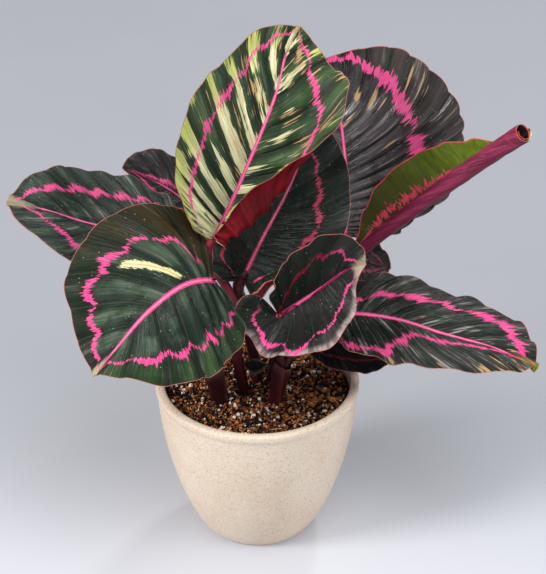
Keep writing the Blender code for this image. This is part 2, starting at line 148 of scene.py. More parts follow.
LEAVES = {
    "front_left": Leaf(
        midrib=((-27, -30, 205), (-41, -40, 209), (-64, -58, 201), (-85, -75, 183), (-98, -84, 170)),
        faces=((0, -0.6, 0.8), (-0.1, -0.7, 0.7)),
        left=Half(56, fold=(10, 0, 0), curl=(-20, -40, -20), lobe=0.28,
            reach=(1, 1, 1.03, 1.02, 1, 1.02, 1.05, 0.98, 0.58, 0.24, 0),
            ring=(0.8, 0.8, 0.66, 0.64, 0.67, 0.66, 0.65, 0.67, 0.72, 0.66, 0.4)),
        right=Half(63, fold=(6, 5, 0), lobe=0.08, reach=(1, 1, 1, 0.93, 0.72, 0.2),
            ring=(0.02, 0.05, 0.1, 0.28, 0.56, 0.67, 0.74, 0.76, 0.72, 0.75, 0.7)),
        # Past the ring, its right half is painted bronze as shade where it tilts away, and brown near the
        # base as light shining through it.
        look=Look(border="leaf_fresh", border_right="leaf_bronze", veins=10, relief=1.5, frill=0.9,
            gloss=0.12, scallop=0.09, streak=(0.08, 0.6, 0.475, 0.14, 0.021), late_ring=0.32, light_through=1,
            tip_cream=0.6, rib=1.7, tone=1.05),
    ),
    "top": Leaf(
        midrib=((-27, -12, 224), (-4, 11, 268), (12, 29, 304), (21, 43, 331), (28, 47, 341)),
        faces=((0, -1, 0.3), (0, -1, 0.3)),
        left=Half(52, fold=(30, 10, 10), curl=(20, 20, 10), lobe=0.03, reach=(1, 1, 1, 0.97, 0.9, 0.8),
            ring=(0.6, 0.6, 0.64, 0.67, 0.65, 0.66, 0.7, 0.75, 0.82, 0.84, 0.8)),
        right=Half(57, fold=(12, 8, 0), curl=(195, 88, 0), lobe=0.03, roll=(0.3, 0.74),
            reach=(1, 1, 1, 1.03, 1.15, 1.4),
            ring=(0.6, 0.6, 0.6, 0.6, 0.6, 0.6, 0.6, 0.69, 0.64, 0.77, 0.6)),
        slot="leaf_pale",
        look=Look(inner="leaf_green", tone_and_sheen="leaf_fresh", border="leaf_fresh", veins=12, relief=2, wave=1,
            frill=1, gloss=0.26, ring_width=0.075, cream=0.44, cream_base=4.4, cream_left=0.4, peach=1,
            roughness=0.4, tone=0.8),
    ),
    "centre": Leaf(
        midrib=((-9, -6, 192), (3, 9, 212), (21, 26, 242), (37, 42, 282)),
        faces=((0.2, -1, 0.3), (0.2, -1, 0.3)),
        left=Half(33, curl=(20, 20, 10), lobe=0.16,
            ring=(0.2, 0.3, 0.4, 0.75, 0.85, 0.85, 0.8, 0.7, 0.6, 0.4, 0.2)),
        right=Half(49, fold=(20, 10, 10), curl=(120, 20, 0), lobe=0.24, roll=(0.3, 0.9),
            ring=(0.4, 0.4, 0.42, 0.45, 0.48, 0.5, 0.64, 0.6, 0.56, 0.4, 0.2)),
        skew=0.25,
        look=Look(inner="leaf_black", tone_and_sheen="leaf_dark", border="leaf_dark", ring="ring_rose", veins=9,
            relief=1, wave=1.6, gloss=0.35, glint=0.08, peach=0.1, rib=1.35, roughness=0.25, tone=0.35,
            turned=(0.74, 0.46)),
    ),
    "low_centre": Leaf(
        midrib=((14, -34, 182), (40, -24, 196), (59, -15, 205), (69, -12, 206)),
        faces=((-0.1, -0.7, 0.7), (-0.1, -0.7, 0.7)),
        left=Half(36, fold=(50, 50, 30), curl=(10, 10, 10), lobe=0,
            ring=(0.1, 0.12, 0.15, 0.2, 0.33, 0.5, 0.64, 0.69, 0.68, 0.5, 0.4)),
        right=Half(60, fold=(0, 0, 0), curl=(60, 30, 0),
            outline=((-0.03, -0.2), (-0.1, -0.31), (-0.23, -0.35), (-0.36, -0.2), (-0.36, 0.1),
                (-0.27, 0.42), (0.04, 0.65), (0.46, 0.54), (0.74, 0.25), (1, 0)),
            lift=6, ring=(0.5, 0.52, 0.64, 0.82, 0.74, 0.92, 0.64, 0.66, 0.5, 0.66, 0.25)),
        sharp=40,
        look=Look(inner="leaf_slate", tone_and_sheen="leaf_plum", border="leaf_grey", veins=7, relief=1.2, wave=1,
            ripple=0.02, frill=1.2, gloss=0.12, glint=0.12, ring_width=0.088, scallop=0.11, tip_cream=0.45,
            roughness=0.34, tone=0.4, pale_margin=0.85, shade_left=1, shade_lobe=0.9),
    ),
    "right": Leaf(
        midrib=((50, 0, 162), (92, -6, 161), (118, -12, 155), (156, -20, 147), (180, -28, 139)),
        faces=((0, -0.25, 1), (0, -0.25, 1)),
        left=Half(40, fold=(15, 10, 10), curl=(-20, -20, 10),
            ring=(0.05, 0.08, 0.12, 0.22, 0.42, 0.55, 0.65, 0.8, 0.79, 0.72, 0.6)),
        right=Half(33, fold=(10, 5, 10), curl=(-20, -20, -20), reach=(1, 1.25, 1.05, 0.9, 0.82, 0.7),
            ring=(0.8, 0.82, 0.85, 0.84, 0.8, 0.58, 0.34, 0.34, 0.33, 0.33, 0.2)),
        skew=0.15,
        look=Look(inner="leaf_black", tone_and_sheen="leaf_slate", border="leaf_grey", relief=1.4, wave=2.4,
            ripple=0.03, frill=1.4, glint=0.85, tip="flap_green", ring_width=0.14, peach=0.9, tip_cream=0.9,
            rib=1.45, tone=0.6),
    ),
    "right_low": Leaf(
        midrib=((35, 8, 141), (57, 2, 137), (87, -6, 129)),
        faces=((0, -0.3, 1), (0, -0.3, 1)),
        left=Half(24, curl=(-20, -20, 10), ring=(0.5, 0.6, 0.6, 0.5)),
        right=Half(22, curl=(-20, -20, -20), ring=(0.5, 0.6, 0.6, 0.5)),
        slot="leaf_purple",
        look=Look(inner="leaf_navy", tone_and_sheen="leaf_slate", border="leaf_navy", ring="ring_deep", veins=8,
            relief=0.4, wave=0.8, ring_width=0.1, rib=0.8),
    ),
    "back_right": Leaf(
        midrib=((58, 56, 189), (57, 68, 246), (51, 76, 278), (38, 80, 303)),
        faces=((0.1, -1, 0.3), (0.1, -1, 0.3)),
        left=Half(60, curl=(10, 10, 10), ring=(0.4, 0.55, 0.6, 0.62, 0.6, 0.5)),
        right=Half(80, reach=(0.6, 0.8, 0.95, 1, 1, 1),
            ring=(0.2, 0.3, 0.4, 0.48, 0.55, 0.6, 0.62, 0.67, 0.75, 0.92, 0.9)),
        skew=-0.02, slot="leaf_purple",
        look=Look(inner="leaf_plum", tone_and_sheen="leaf_violet", border="leaf_umber", veins=19, relief=2.4,
            wave=1.4, ripple=0.02, frill=2.2, gloss=0.65, glint=0.42, ring_width=0.11, scallop=0.04,
            peach=0.85, roughness=0.26, tone=0.55),
    ),
    "left": Leaf(
        midrib=((-44, 30, 200), (-112, 10, 225), (-132, 4, 236), (-156, 2, 243)),
        faces=((0, -0.35, 1), (0, -0.35, 1)),
        left=Half(46, curl=(-10, -10, 10),
            ring=(0.4, 0.5, 0.6, 0.68, 0.72, 0.74, 0.74, 0.72, 0.62, 0.5, 0.4)),
        right=Half(47, curl=(-10, -10, -10),
            ring=(0.3, 0.4, 0.5, 0.58, 0.6, 0.59, 0.61, 0.66, 0.72, 0.78, 0.6)),
        look=Look(border="leaf_deep", relief=1.5, wave=1.4, ripple=0.025, glint=0.55, ring_width=0.1,
            peach=0.15, tip_cream=0.3, rib=0.9, tone=0.7),
    ),
    "left_back": Leaf(
        midrib=((-39, 78, 193), (-71, 78, 219), (-90, 74, 230)),
        faces=((0, -0.4, 1), (0, -0.4, 1)),
        left=Half(24, curl=(-10, -10, 10), ring=(0.4, 0.55, 0.6, 0.5, 0.3)),
        right=Half(28, curl=(-10, -10, -10), ring=(0.3, 0.25, 0.2, 0.2, 0.16, 0.12)),
        slot="leaf_purple",
        look=Look(inner="leaf_plum", tone_and_sheen="leaf_violet", border="leaf_plum", veins=8, relief=0.7,
            glint=0.4, ring_width=0.14, peach=0.3, rib=0.5),
    ),
    "right_back_small": Leaf(
        midrib=((62, 60, 175), (76, 60, 166), (90, 58, 162)),
        faces=((0, -0.5, 1), (0, -0.5, 1)),
        left=Half(16, curl=(-10, -10, 10), ring=(0.4, 0.5, 0.5, 0.4)),
        right=Half(20, curl=(-10, -10, -10), ring=(0.4, 0.5, 0.5, 0.4)),
        slot="leaf_purple",
        look=Look(inner="leaf_plum", tone_and_sheen="leaf_violet", border="leaf_plum", ring="ring_deep", veins=6,
            relief=0.5, ring_width=0.1, rib=0.6),
    ),
}

# Dry, dark bract that curls open beside the middle stalks.
BRACT = Leaf(
    midrib=((-8, -2, 125), (-1, -4, 122), (6, -2, 125)),
    faces=((0, -0.5, 1), (0, -0.5, 1)),
    left=Half(7, fold=(40, 30, 40), curl=(40, 30, 30)),
    right=Half(7, fold=(30, 20, 30), curl=(40, 30, 30)),
    slot="dry_bract",
    look=Look(veins=5, relief=0.35, wave=0.8, ripple=0.05, frill=0, rib=0.5),
)

# The new leaf that is still rolled up: its axis, and the flap of blade that stands open along it.
ROLL_AXIS = ((68, 30, 193), (119, 24, 243), (165, 18, 283))
ROLL_RADII = (4.5, 5.8, 6.5)
ROLL_TURNS = 1.6
ROLL_PITCH = 1.5
ROLL_FACE = (0, -0.86, 0.51)
FLAP_WIDTHS = (8, 19, 26, 28, 27, 23, 15, 4, 0)
FLAP_SHARE = 5 / 26
FLAP_LEAN = 0.08
ROLL_THICKNESS = 0.5

# Sheathed stems: points and radii from the potting mix up.
STEMS = {
    "left": (((-25, -15.5, 104.3), (-26, -16, 115), (-29, -17, 131.5)), (5.3, 6.2, 8)),
    "right": (((12, -15, 104.3), (14, -16, 118), (17.5, -18, 136.5)), (5, 5.8, 7.5)),
}

# Stalks: points from the foot up, and the radius at the foot. Each ends under its own blade's base.
STALKS = {
    "front_left": (((-26, -22, 133.3), (-26, -22, 160), (-24, -22, 188)), 2.6),
    "top": (((-8, -3, 104.3), (-13, -8, 133), (-17, -9, 182)), 3.8),
    "centre": (((0, 8, 104.3), (-4, 6, 136), (-9, 3, 168)), 4.0),
    "low_centre": (((14, -21, 138.3), (14, -23, 155)), 2.6),
    "right": (((21.5, -19, 138.3), (27, -16, 148)), 2.6),
    "right_low": (((14, -3, 104.3), (20, 2, 124)), 2.4),
    "back_right": (((8, 5, 104.3), (18, 18, 145)), 3.0),
    "left": (((-34, -17, 133.3), (-38, -6, 165)), 2.6),
    "left_back": (((-27, -13, 133.3), (-29, 5, 160)), 2.4),
    "right_back_small": (((15, 7, 104.3), (28, 22, 132)), 2.4),
    "rolled": (((17.5, -13.5, 138.3), (36, 4, 158)), 2.6),
}
STEM_STALKS = {"left": ("front_left", "left", "left_back"), "right": ("low_centre", "right", "rolled")}
STEM_OF = {stalk: stem for stem, stalks in STEM_STALKS.items() for stalk in stalks}

# How far before its blade's base a stalk starts to turn, and how far under it (mm).
STALK_TURNS = {"centre": (2, 2.6)}
USUAL_TURN = (6, 5.5)

# Radius (mm) of a stalk under its blade, and the share of it that is darker, from the foot up.
STALK_TOPS = {"centre": 3.4, "top": 2.8}
USUAL_TOP = 1.5
STALK_DARK_SHARE = 0.7
# Each stalk's two colours. The centre stalk's are darker: painted shade, for it stands in the blades' shadow.
STALK_TINTS = {
    "front_left": ("stalk_red", "stalk_wine"),
    "top": ("stalk_pink", "stalk_red"),
    "centre": ("stalk_wine", "stalk_deep"),
    "rolled": ("tube_light", "tube_red"),
}
UNDERSIDES = {"right": "lime_under"}

# Sheaths: how far each is turned (radians) and its colour, then what both share.
SHEATHS = {"left": (1.4, "sheath_black"), "right": (2.6, "sheath_wine")}
SHEATH_TURNS = 1.22
SHEATH_CUT = 0.13
SHEATH_THICKNESS = 0.55

# Millimetres: the lip's rounding, the fall of the potting mix towards the wall, the gap beside it, how far
# its bed lies below the highest bits, and how far from the wall the bits stay.
LIP_RISE = 2.4
SOIL_FALL = 0.8
SOIL_GAP = 0.5
SOIL_SINK = 0.4
BITS_MARGIN = 2.2

# Loose bits: smallest and largest scale, tilt, rise and roughening (mm), then the material's name, dark and
# light colours, roughness and bump.
SOIL_BITS = {
    "crumbs": ((0.35, 1.9, 3.1, 2.2, 1.5), ("soil_crumb", "crumb_dark", "crumb_light", 0.9, 0.8)),
    "bark": ((0.4, 1.5, 0.9, 2.6, 3.0), ("bark_chip", "bark_dark", "bark_light", 0.8, 0.9)),
    "fibres": ((0.5, 1.8, 0.4, 2.0, 1.2), ("coir_fibre", "fibre_dark", "fibre_light", 0.85, 0.5)),
    "perlite": ((0.3, 1.6, 3.1, 2.6, 2.6), ("perlite_grain", "perlite_dark", "perlite_light", 0.8, 0.7)),
}
SCATTER_INPUTS = {
    "Geometry": ("Geometry",),
    "Object": ("Piece",),
    "Int": ("Seed",),
    "Float": ("Density", "Small", "Large", "Tilt", "Rise", "Roughen"),
    "Material": ("Material",),
}

# The studio, in metres: each light's place, size and colour, what they aim at, and the camera's place and dip
# (degrees).
LIGHTS = {
    "key": ((-3.2, -1.45, 2.4), 1.3, (1, 0.975, 0.95)),
    "top": ((0.5, -1.3, 3.5), 2.6, (0.98, 0.985, 1)),
    "front": ((3.4, -1.3, 1.5), 1.8, (1, 0.98, 0.96)),
    "back": ((0.9, 1.9, 2.2), 0.4, (0.97, 0.98, 1)),
}
LIGHTS_AIM = (0, 0, 0.15)
CAMERA_PLACE = (0.0103, -0.9426, 0.7494)
CAMERA_DIP = 31.03
SKY = (0.9, 0.94, 1.0, 1.0)

# The palette, as linear red, green and blue.
COLOURS = {
    "leaf_dark": (0.01, 0.023, 0.016),
    "leaf_mid": (0.09, 0.135, 0.085),
    "leaf_fresh": (0.09, 0.17, 0.045),
    "leaf_border": (0.04, 0.055, 0.022),
    "leaf_green": (0.02, 0.048, 0.018),
    "leaf_black": (0.01, 0.016, 0.011),
    "leaf_slate": (0.02, 0.02, 0.018),
    "leaf_plum": (0.026, 0.016, 0.023),
    "leaf_violet": (0.085, 0.065, 0.075),
    "leaf_grey": (0.09, 0.072, 0.074),
    "leaf_navy": (0.011, 0.013, 0.024),
    "leaf_umber": (0.1, 0.07, 0.045),
    "leaf_bronze": (0.042, 0.034, 0.012),
    "leaf_deep": (0.055, 0.085, 0.055),
    "warm_brown": (0.042, 0.024, 0.001),
    "vein_line": (0.12, 0.12, 0.07),
    "ring_pink": (0.86, 0.06, 0.28),
    "ring_rose": (0.6, 0.03, 0.12),
    "ring_deep": (0.24, 0.01, 0.035),
    "ring_light": (0.98, 0.3, 0.45),
    "cream": (1.0, 0.93, 0.55),
    "lime": (0.66, 0.68, 0.16),
    "peach": (0.64, 0.4, 0.19),
    "salmon_edge": (0.52, 0.17, 0.13),
    "edge_brown": (0.2, 0.06, 0.045),
    "coral": (0.86, 0.06, 0.13),
    "roll_rim": (0.62, 0.13, 0.07),
    "pale_rim": (0.55, 0.44, 0.43),
    "leaf_streak": (0.33, 0.33, 0.29),
    "dust": (0.35, 0.34, 0.32),
    "wine": (0.075, 0.003, 0.006),
    "wine_light": (0.26, 0.008, 0.013),
    "lime_under": (0.093, 0.105, 0.004),
    "stalk_red": (0.16, 0.012, 0.026),
    "stalk_pink": (0.34, 0.03, 0.055),
    "stalk_wine": (0.075, 0.012, 0.016),
    "stalk_deep": (0.02, 0.004, 0.006),
    "stalk_brown": (0.16, 0.07, 0.04),
    "sheath_wine": (0.1, 0.008, 0.02),
    "sheath_black": (0.032, 0.005, 0.009),
    "sheath_lip": (0.2, 0.05, 0.05),
    "sheath_brown": (0.14, 0.06, 0.035),
    "tube_light": (0.44, 0.045, 0.13),
    "tube_red": (0.2, 0.01, 0.05),
    "tube_deep": (0.04, 0.002, 0.008),
    "flap_olive": (0.05, 0.052, 0.002),
    "flap_green": (0.15, 0.235, 0.004),
    "bract_dark": (0.012, 0.01, 0.01),
    "bract_light": (0.05, 0.042, 0.04),
    "bract_rim": (0.14, 0.1, 0.09),
    "glaze": (0.8, 0.69, 0.55),
    "glaze_warm": (0.76, 0.62, 0.48),
    "glaze_fleck": (0.5, 0.3, 0.16),
    "speckle": (0.28, 0.11, 0.04),
    "speckle_dark": (0.09, 0.04, 0.02),
    "soil_dark": (0.006, 0.004, 0.003),
    "soil_light": (0.03, 0.015, 0.008),
    "crumb_dark": (0.008, 0.004, 0.003),
    "crumb_light": (0.72, 0.25, 0.07),
    "bark_dark": (0.03, 0.012, 0.006),
    "bark_light": (0.8, 0.32, 0.1),
    "fibre_dark": (0.2, 0.08, 0.03),
    "fibre_light": (0.85, 0.46, 0.2),
    "perlite_dark": (0.78, 0.7, 0.6),
    "perlite_light": (1.0, 0.98, 0.93),
    "floor_far": (0.295, 0.305, 0.332),
    "floor_near": (0.55, 0.56, 0.605),
}


# ---------------------------------------------------------------- shapes


def mesh_of(form, name):
    """A mesh of a bmesh, which is freed."""
    mesh = bpy.data.meshes.new(name)
    form.to_mesh(mesh)
    form.free()
    return mesh


def unit(vectors):
    lengths = np.linalg.norm(vectors, axis=-1, keepdims=True)
    return vectors / np.maximum(lengths, 1e-12)


def ease(low, high, values):
    """Smooth step from 0 at low to 1 at high."""
    x = np.clip((np.asarray(values, float) - low) / (high - low), 0, 1)
    return x * x * (3 - 2 * x)


def smooth_curve(points, u):
    """Position and derivative on a smooth curve through the points; beyond its ends it runs straight."""
    knots = np.asarray(points, float)
    last = len(knots) - 1
    steps = np.linalg.norm(np.diff(knots, axis=0), axis=1)
    places = np.concatenate([[0.0], np.cumsum(steps)]) / steps.sum()
    slopes = np.gradient(knots, places, axis=0, edge_order=2 if last > 1 else 1)
    u = np.asarray(u, float)
    inside = np.clip(u, 0, 1)
    i = np.clip(np.searchsorted(places, inside, side="right") - 1, 0, last - 1)
    span = (places[i + 1] - places[i])[..., None]
    x = (inside - places[i])[..., None] / span
    start, end, leave, arrive = knots[i], knots[i + 1], slopes[i] * span, slopes[i + 1] * span
    position = (2 * x**3 - 3 * x**2 + 1) * start + (x**3 - 2 * x**2 + x) * leave
    position = position + (3 * x**2 - 2 * x**3) * end + (x**3 - x**2) * arrive
    slope = (6 * x**2 - 6 * x) * (start - end) + (3 * x**2 - 4 * x + 1) * leave
    slope = (slope + (3 * x**2 - 2 * x) * arrive) / span
    return position + slope * (u - inside)[..., None], slope


def three_point(values, u):
    """Quadratic through the values at the base, the middle and the tip."""
    u = np.clip(u, 0, 1)
    base, middle, tip = values
    return base * (1 - u) * (1 - 2 * u) + middle * 4 * u * (1 - u) + tip * u * (2 * u - 1)


def eased_knots(values, u):
    """Evenly spaced values joined by smooth steps."""
    values = np.asarray(values, float)
    place = u * (len(values) - 1)
    i = np.clip(place.astype(int), 0, len(values) - 2)
    x = place - i
    x = x * x * (3 - 2 * x)
    return values[i] * (1 - x) + values[i + 1] * x


def margin(leaf, half, s, length):
    """Where each side vein meets the margin: along the midrib (0 to 1) and out from it (mm)."""
    if half.outline:
        points, _ = smooth_curve([(*p, 0) for p in half.outline], s)
        return points[..., 0], points[..., 1] * length
    along = 0.5 * (1 - np.cos(np.pi * s)) - 2.2 * half.lobe * np.sin(np.pi * s) * (1 - s) ** 2
    out = half.width * np.sin(np.pi * s) * (1 + leaf.skew * np.cos(np.pi * s)) * (1 - s**leaf.sharp)
    if half.reach:
        out = out * eased_knots(half.reach, s)
    return along, out


def section_width(half, along, out, length):
    """Half the blade's width across the midrib at a place along it, which the curl is spread over."""
    if half.outline:
        return np.maximum(np.abs(out), 0.5 * length)
    inside = np.clip(along, 0.02, 0.98)
    ellipse = np.maximum(np.sqrt(1 - (1 - 2 * inside) ** 2), 0.35)
    return np.maximum(ellipse * half.width, np.abs(out))


def midrib_length(leaf):
    return np.linalg.norm(np.diff(np.asarray(leaf.midrib, float), axis=0), axis=1).sum()


def half_blade(leaf, half, side, s, t):
    """Points of one side of a blade, with their places along the midrib, out from it (mm), and normals."""
    length = midrib_length(leaf)
    margin_along, margin_out = margin(leaf, half, s, length)
    vein_root = s**VEIN_ROOT_POWER
    lean = VEIN_STRAIGHT_SHARE * t + (1 - VEIN_STRAIGHT_SHARE) * t * t
    along = vein_root + (margin_along - vein_root) * lean
    out = margin_out * t
    spine, slope = smooth_curve(leaf.midrib, along)
    tangent = unit(slope)
    blend = np.clip(along, 0, 1)[..., None]
    face = np.asarray(leaf.faces[0]) * (1 - blend) + np.asarray(leaf.faces[1]) * blend
    normal = unit(face - (face * tangent).sum(-1, keepdims=True) * tangent)
    across = np.cross(tangent, normal)
    fold = np.radians(three_point(half.fold, along))
    curl = np.radians(three_point(half.curl, along))
    wide = section_width(half, along, out, length)
    begin, end = half.roll or (0, 1)
    sideways = np.zeros_like(out)
    rise = half.lift * np.clip(-along, 0, 1) / LIFT_REACH
    for j in range(CURL_STEPS):
        place = (j + 0.5) / CURL_STEPS * np.abs(out) / wide
        turn = np.clip((place - begin) / (end - begin), 0, 1)
        if half.roll:
            turn = turn * turn * (3 - 2 * turn)
        angle = fold + curl * turn
        sideways = sideways + np.cos(angle) * out / CURL_STEPS
        rise = rise + np.sin(angle) * np.abs(out) / CURL_STEPS
    points = spine + across * (side * sideways)[..., None] + normal * rise[..., None]
    return points, along, np.abs(out), normal


def frame_at_base(leaf):
    """The blade's base point, the way its midrib leaves it and the way its upper face looks."""
    point, slope = smooth_curve(leaf.midrib, np.array([0.0]))
    tangent = unit(slope)[0]
    face = np.asarray(leaf.faces[0], float)
    return point[0], tangent, unit(face - (face @ tangent) * tangent)


def wavy(generator, u, low, high, terms=5):
    """A smooth random line over u in 0 to 1, about -1 to 1, from waves between low and high cycles."""
    total = np.zeros_like(u)
    for cycles in generator.uniform(low, high, terms):
        total = total + np.sin(2 * math.pi * (cycles * u + generator.uniform()))
    return total / math.sqrt(terms)


def grid_normals(points, hint):
    """Unit normals of a grid of points, turned to the side that the hint vectors look at."""
    down = np.gradient(points, axis=0)
    over = np.gradient(points, axis=1)
    normals = np.cross(down, over)
    weak = np.linalg.norm(normals, axis=-1) < 1e-7
    normals = unit(normals)
    flip = np.sign((normals * hint).sum(-1, keepdims=True))
    typical = np.sign(np.median(flip[~weak]))
    normals = normals * typical
    normals[weak] = hint[weak]
    for pole in (0, -1):
        inner = 1 if pole == 0 else -2
        normals[pole] = unit(normals[inner].mean(0))
    return normals


def blade_columns():
    """Places from the left margin (-1) to the right (1), crowded towards the midrib and the margin."""
    half = np.linspace(0, 1, BLADE_COLUMNS) ** COLUMN_CROWDING
    half = np.sort(np.append(half, EDGE_COLUMN))
    return np.concatenate([-half[::-1], half[1:]])


class Surface(NamedTuple):
    """A blade as a grid: its points and normals (mm), and what the materials read at each point."""

    points: np.ndarray
    normals: np.ndarray
    ridge: np.ndarray
    uv: np.ndarray
    values: dict


def blade_surface(leaf, seed):
    """The blade with its veins, waves and midrib, at full fineness."""
    look = leaf.look
    generator = np.random.default_rng(seed)
    rows = np.linspace(0, 1, BLADE_ROWS + 1)
    s, t = np.meshgrid(rows, blade_columns(), indexing="ij")
    reach = np.abs(t)
    left, left_along, left_out, face = half_blade(leaf, leaf.left, -1, s, np.clip(-t, 0, 1))
    right, right_along, right_out, right_face = half_blade(leaf, leaf.right, 1, s, np.clip(t, 0, 1))
    is_left = t < 0
    points = np.where(is_left[..., None], left, right)
    along = np.where(is_left, left_along, right_along)
    out = np.where(is_left, left_out, right_out)
    hint = np.where(is_left[..., None], face, right_face)
    normals = grid_normals(points, hint)

    pillow = np.abs(np.sin(math.pi * look.veins * s)) ** 0.75
    open_share = ease(0.0, 0.22, reach) * (1 - 0.35 * ease(0.75, 1, reach))
    ends = ease(0, 0.12, s) * (1 - ease(0.93, 1, s))
    relief = look.relief * (pillow - 0.6) * open_share * ends
    sways = [
        wavy(generator, s, 1.5, 4.5) * reach**2 + 0.7 * wavy(generator, s, 5, 11) * reach**5
        for _ in ("left", "right")
    ]
    relief = relief + look.wave * np.where(is_left, *sways) * ends
    upper_rib = 0.32 * np.exp(-((out / 0.8) ** 2)) * (1 - ease(0.8, 1, s))
    points = points + normals * (relief + upper_rib)[..., None]

    if look.ripple or look.frill:
        outward = unit(points[:, -1] - points[:, 0])[:, None]
        swell = look.ripple * leaf.right.width * wavy(generator, s, 4, 9) * reach**3 * ends
        swell = swell + look.frill * (pillow - 0.7) * reach**5 * ends
        points = points + outward * np.where(is_left, -swell, swell)[..., None]

    base_width = look.rib * (1 - np.clip(along, 0, 1)) ** 0.8 + 0.28
    ridge = 1.25 * base_width * np.exp(-((out / (1.1 * base_width)) ** 2)) * (1 - ease(0.94, 1, s))
    margins = np.where(is_left[..., None], points[:, :1], points[:, -1:])
    scallop = look.scallop * (np.abs(np.sin(math.pi * look.veins * s)) - 0.6)
    ring = np.where(is_left, eased_knots(leaf.left.ring, s), eased_knots(leaf.right.ring, s))
    values = {
        "ring_place": ring + scallop,
        "rib_place": out / base_width + 40 * np.clip(-along - 0.01, 0, 1),
        "edge_distance": np.linalg.norm(points - margins, axis=-1),
    }
    uv = np.stack([s, 0.5 + 0.5 * t], axis=-1)
    return Surface(points, grid_normals(points, hint), ridge, uv, values)


def write_values(mesh, values):
    for name, numbers in values.items():
        attribute = mesh.attributes.new(name, "FLOAT", "POINT")
        attribute.data.foreach_set("value", np.asarray(numbers, np.float32).ravel())


def shell_mesh(name, surface, thickness, edge_share=0.55):
    """A closed thin body round a grid surface. Slots: 0 upper face, 1 under face, 2 the cut edge."""
    rows, columns = surface.points.shape[:2]
    near_edge = np.minimum(surface.uv[..., 1], 1 - surface.uv[..., 1]) * 2
    half = 0.5 * thickness * (edge_share + (1 - edge_share) * ease(0, 0.06, near_edge))
    half[[0, -1]] = 0.5 * thickness * edge_share
    upper = surface.points + surface.normals * half[..., None]
    under = surface.points - surface.normals * (half + surface.ridge)[..., None]
    count = rows * columns
    index = np.arange(count).reshape(rows, columns)
    a, b, c, d = index[:-1, :-1], index[1:, :-1], index[1:, 1:], index[:-1, 1:]
    quads = np.stack([a, b, c, d], -1).reshape(-1, 4)
    top_normal = np.cross(
        surface.points[1:, :-1] - surface.points[:-1, :-1],
        surface.points[:-1, 1:] - surface.points[:-1, :-1],
    )
    same_way = (top_normal * surface.normals[:-1, :-1]).sum() > 0
    if not same_way:
        quads = quads[:, ::-1]
    border = np.concatenate([index[0, :], index[1:, -1], index[-1, -2::-1], index[-2:0:-1, 0]])
    following = np.roll(border, -1)
    walls = np.stack([border, following, following + count, border + count], -1)
    if not same_way:
        walls = walls[:, ::-1]
    faces = np.concatenate([quads, quads[:, ::-1] + count, walls])
    slots = np.repeat([0, 1, 2], [len(quads), len(quads), len(walls)])
    coordinates = np.concatenate([upper.reshape(-1, 3), under.reshape(-1, 3)]) * MM
    mesh = bpy.data.meshes.new(name)
    mesh.from_pydata(coordinates.tolist(), [], faces.tolist())
    mesh.polygons.foreach_set("material_index", slots.astype(np.int32))
    write_values(mesh, {key: np.tile(value.ravel(), 2) for key, value in surface.values.items()})
    flat_map = np.tile(surface.uv.reshape(-1, 2), (2, 1))
    layer = mesh.uv_layers.new(name="UVMap")
    layer.data.foreach_set("uv", flat_map[faces.ravel()].astype(np.float32).ravel())
    merged = bmesh.new()
    merged.from_mesh(mesh)
    bmesh.ops.remove_doubles(merged, verts=merged.verts, dist=2e-6)
    merged.to_mesh(mesh)
    merged.free()
    mesh.update()
    mesh.shade_smooth()
    mesh.set_sharp_from_angle(angle=math.radians(55))
    return mesh


def roll_surface():
    """The rolled leaf: columns run from the flap's free edge round the roll to its inner edge."""
    generator = np.random.default_rng(31)
    flap_columns = np.linspace(0, FLAP_SHARE, 36)
    wound_columns = np.linspace(FLAP_SHARE, 1, 170)[1:]
    columns = np.concatenate([flap_columns, wound_columns])
    s, t = np.meshgrid(np.linspace(0, 1, 150), columns, indexing="ij")
    axis, slope = smooth_curve(ROLL_AXIS, s)
    tangent = unit(slope)
    face = np.asarray(ROLL_FACE, float)
    front = unit(face - (face * tangent).sum(-1, keepdims=True) * tangent)
    above = np.cross(front, tangent)
    radius = three_point(ROLL_RADII, s)
    wound = np.clip((t - FLAP_SHARE) / (1 - FLAP_SHARE), 0, 1)
    angle = math.pi + wound * ROLL_TURNS * 2 * math.pi
    coil = radius - wound * ROLL_TURNS * ROLL_PITCH
    loose = np.clip(1 - t / FLAP_SHARE, 0, 1)
    flap = eased_knots(FLAP_WIDTHS, s) * loose
    forward = coil * np.cos(angle) - FLAP_LEAN * flap
    upward = coil * np.sin(angle) + flap
    slanted = -0.42 * (forward - 1.5) * ease(0.82, 1, s)
    points = axis + front * forward[..., None] + above * upward[..., None] + tangent * slanted[..., None]
    inward = -(front * np.cos(angle)[..., None] + above * np.sin(angle)[..., None])
    normals = grid_normals(points, inward)
    twist = 2.2 * angle / (2 * math.pi) + 2.6 * s
    wrinkle = 0.2 * np.sin(2 * math.pi * twist) * (0.3 + 0.7 * np.sin(2 * math.pi * (s * 1.6 + 0.2)) ** 2)
    wrinkle = wrinkle + 0.13 * wavy(generator, s + 0.9 * wound, 6, 14)
    flap_fold = 0.3 * np.sin(2 * math.pi * (s * 5 + 0.3 * loose)) * ease(0.05, 0.5, loose)
    tip_wave = 0.2 * wavy(generator, wound, 2, 5) * ease(0.95, 1, s)
    relief = -wrinkle * ease(0, 0.05, wound) + flap_fold
    points = points + normals * relief[..., None] + tangent * tip_wave[..., None]
    values = {
        "flap_place": loose,
        "edge_distance": np.minimum(flap.max(axis=1, keepdims=True) * (1 - loose) + 30 * wound, 99),
    }
    uv = np.stack([s, t], axis=-1)
    return Surface(points, grid_normals(points, inward), np.zeros_like(s), uv, values)


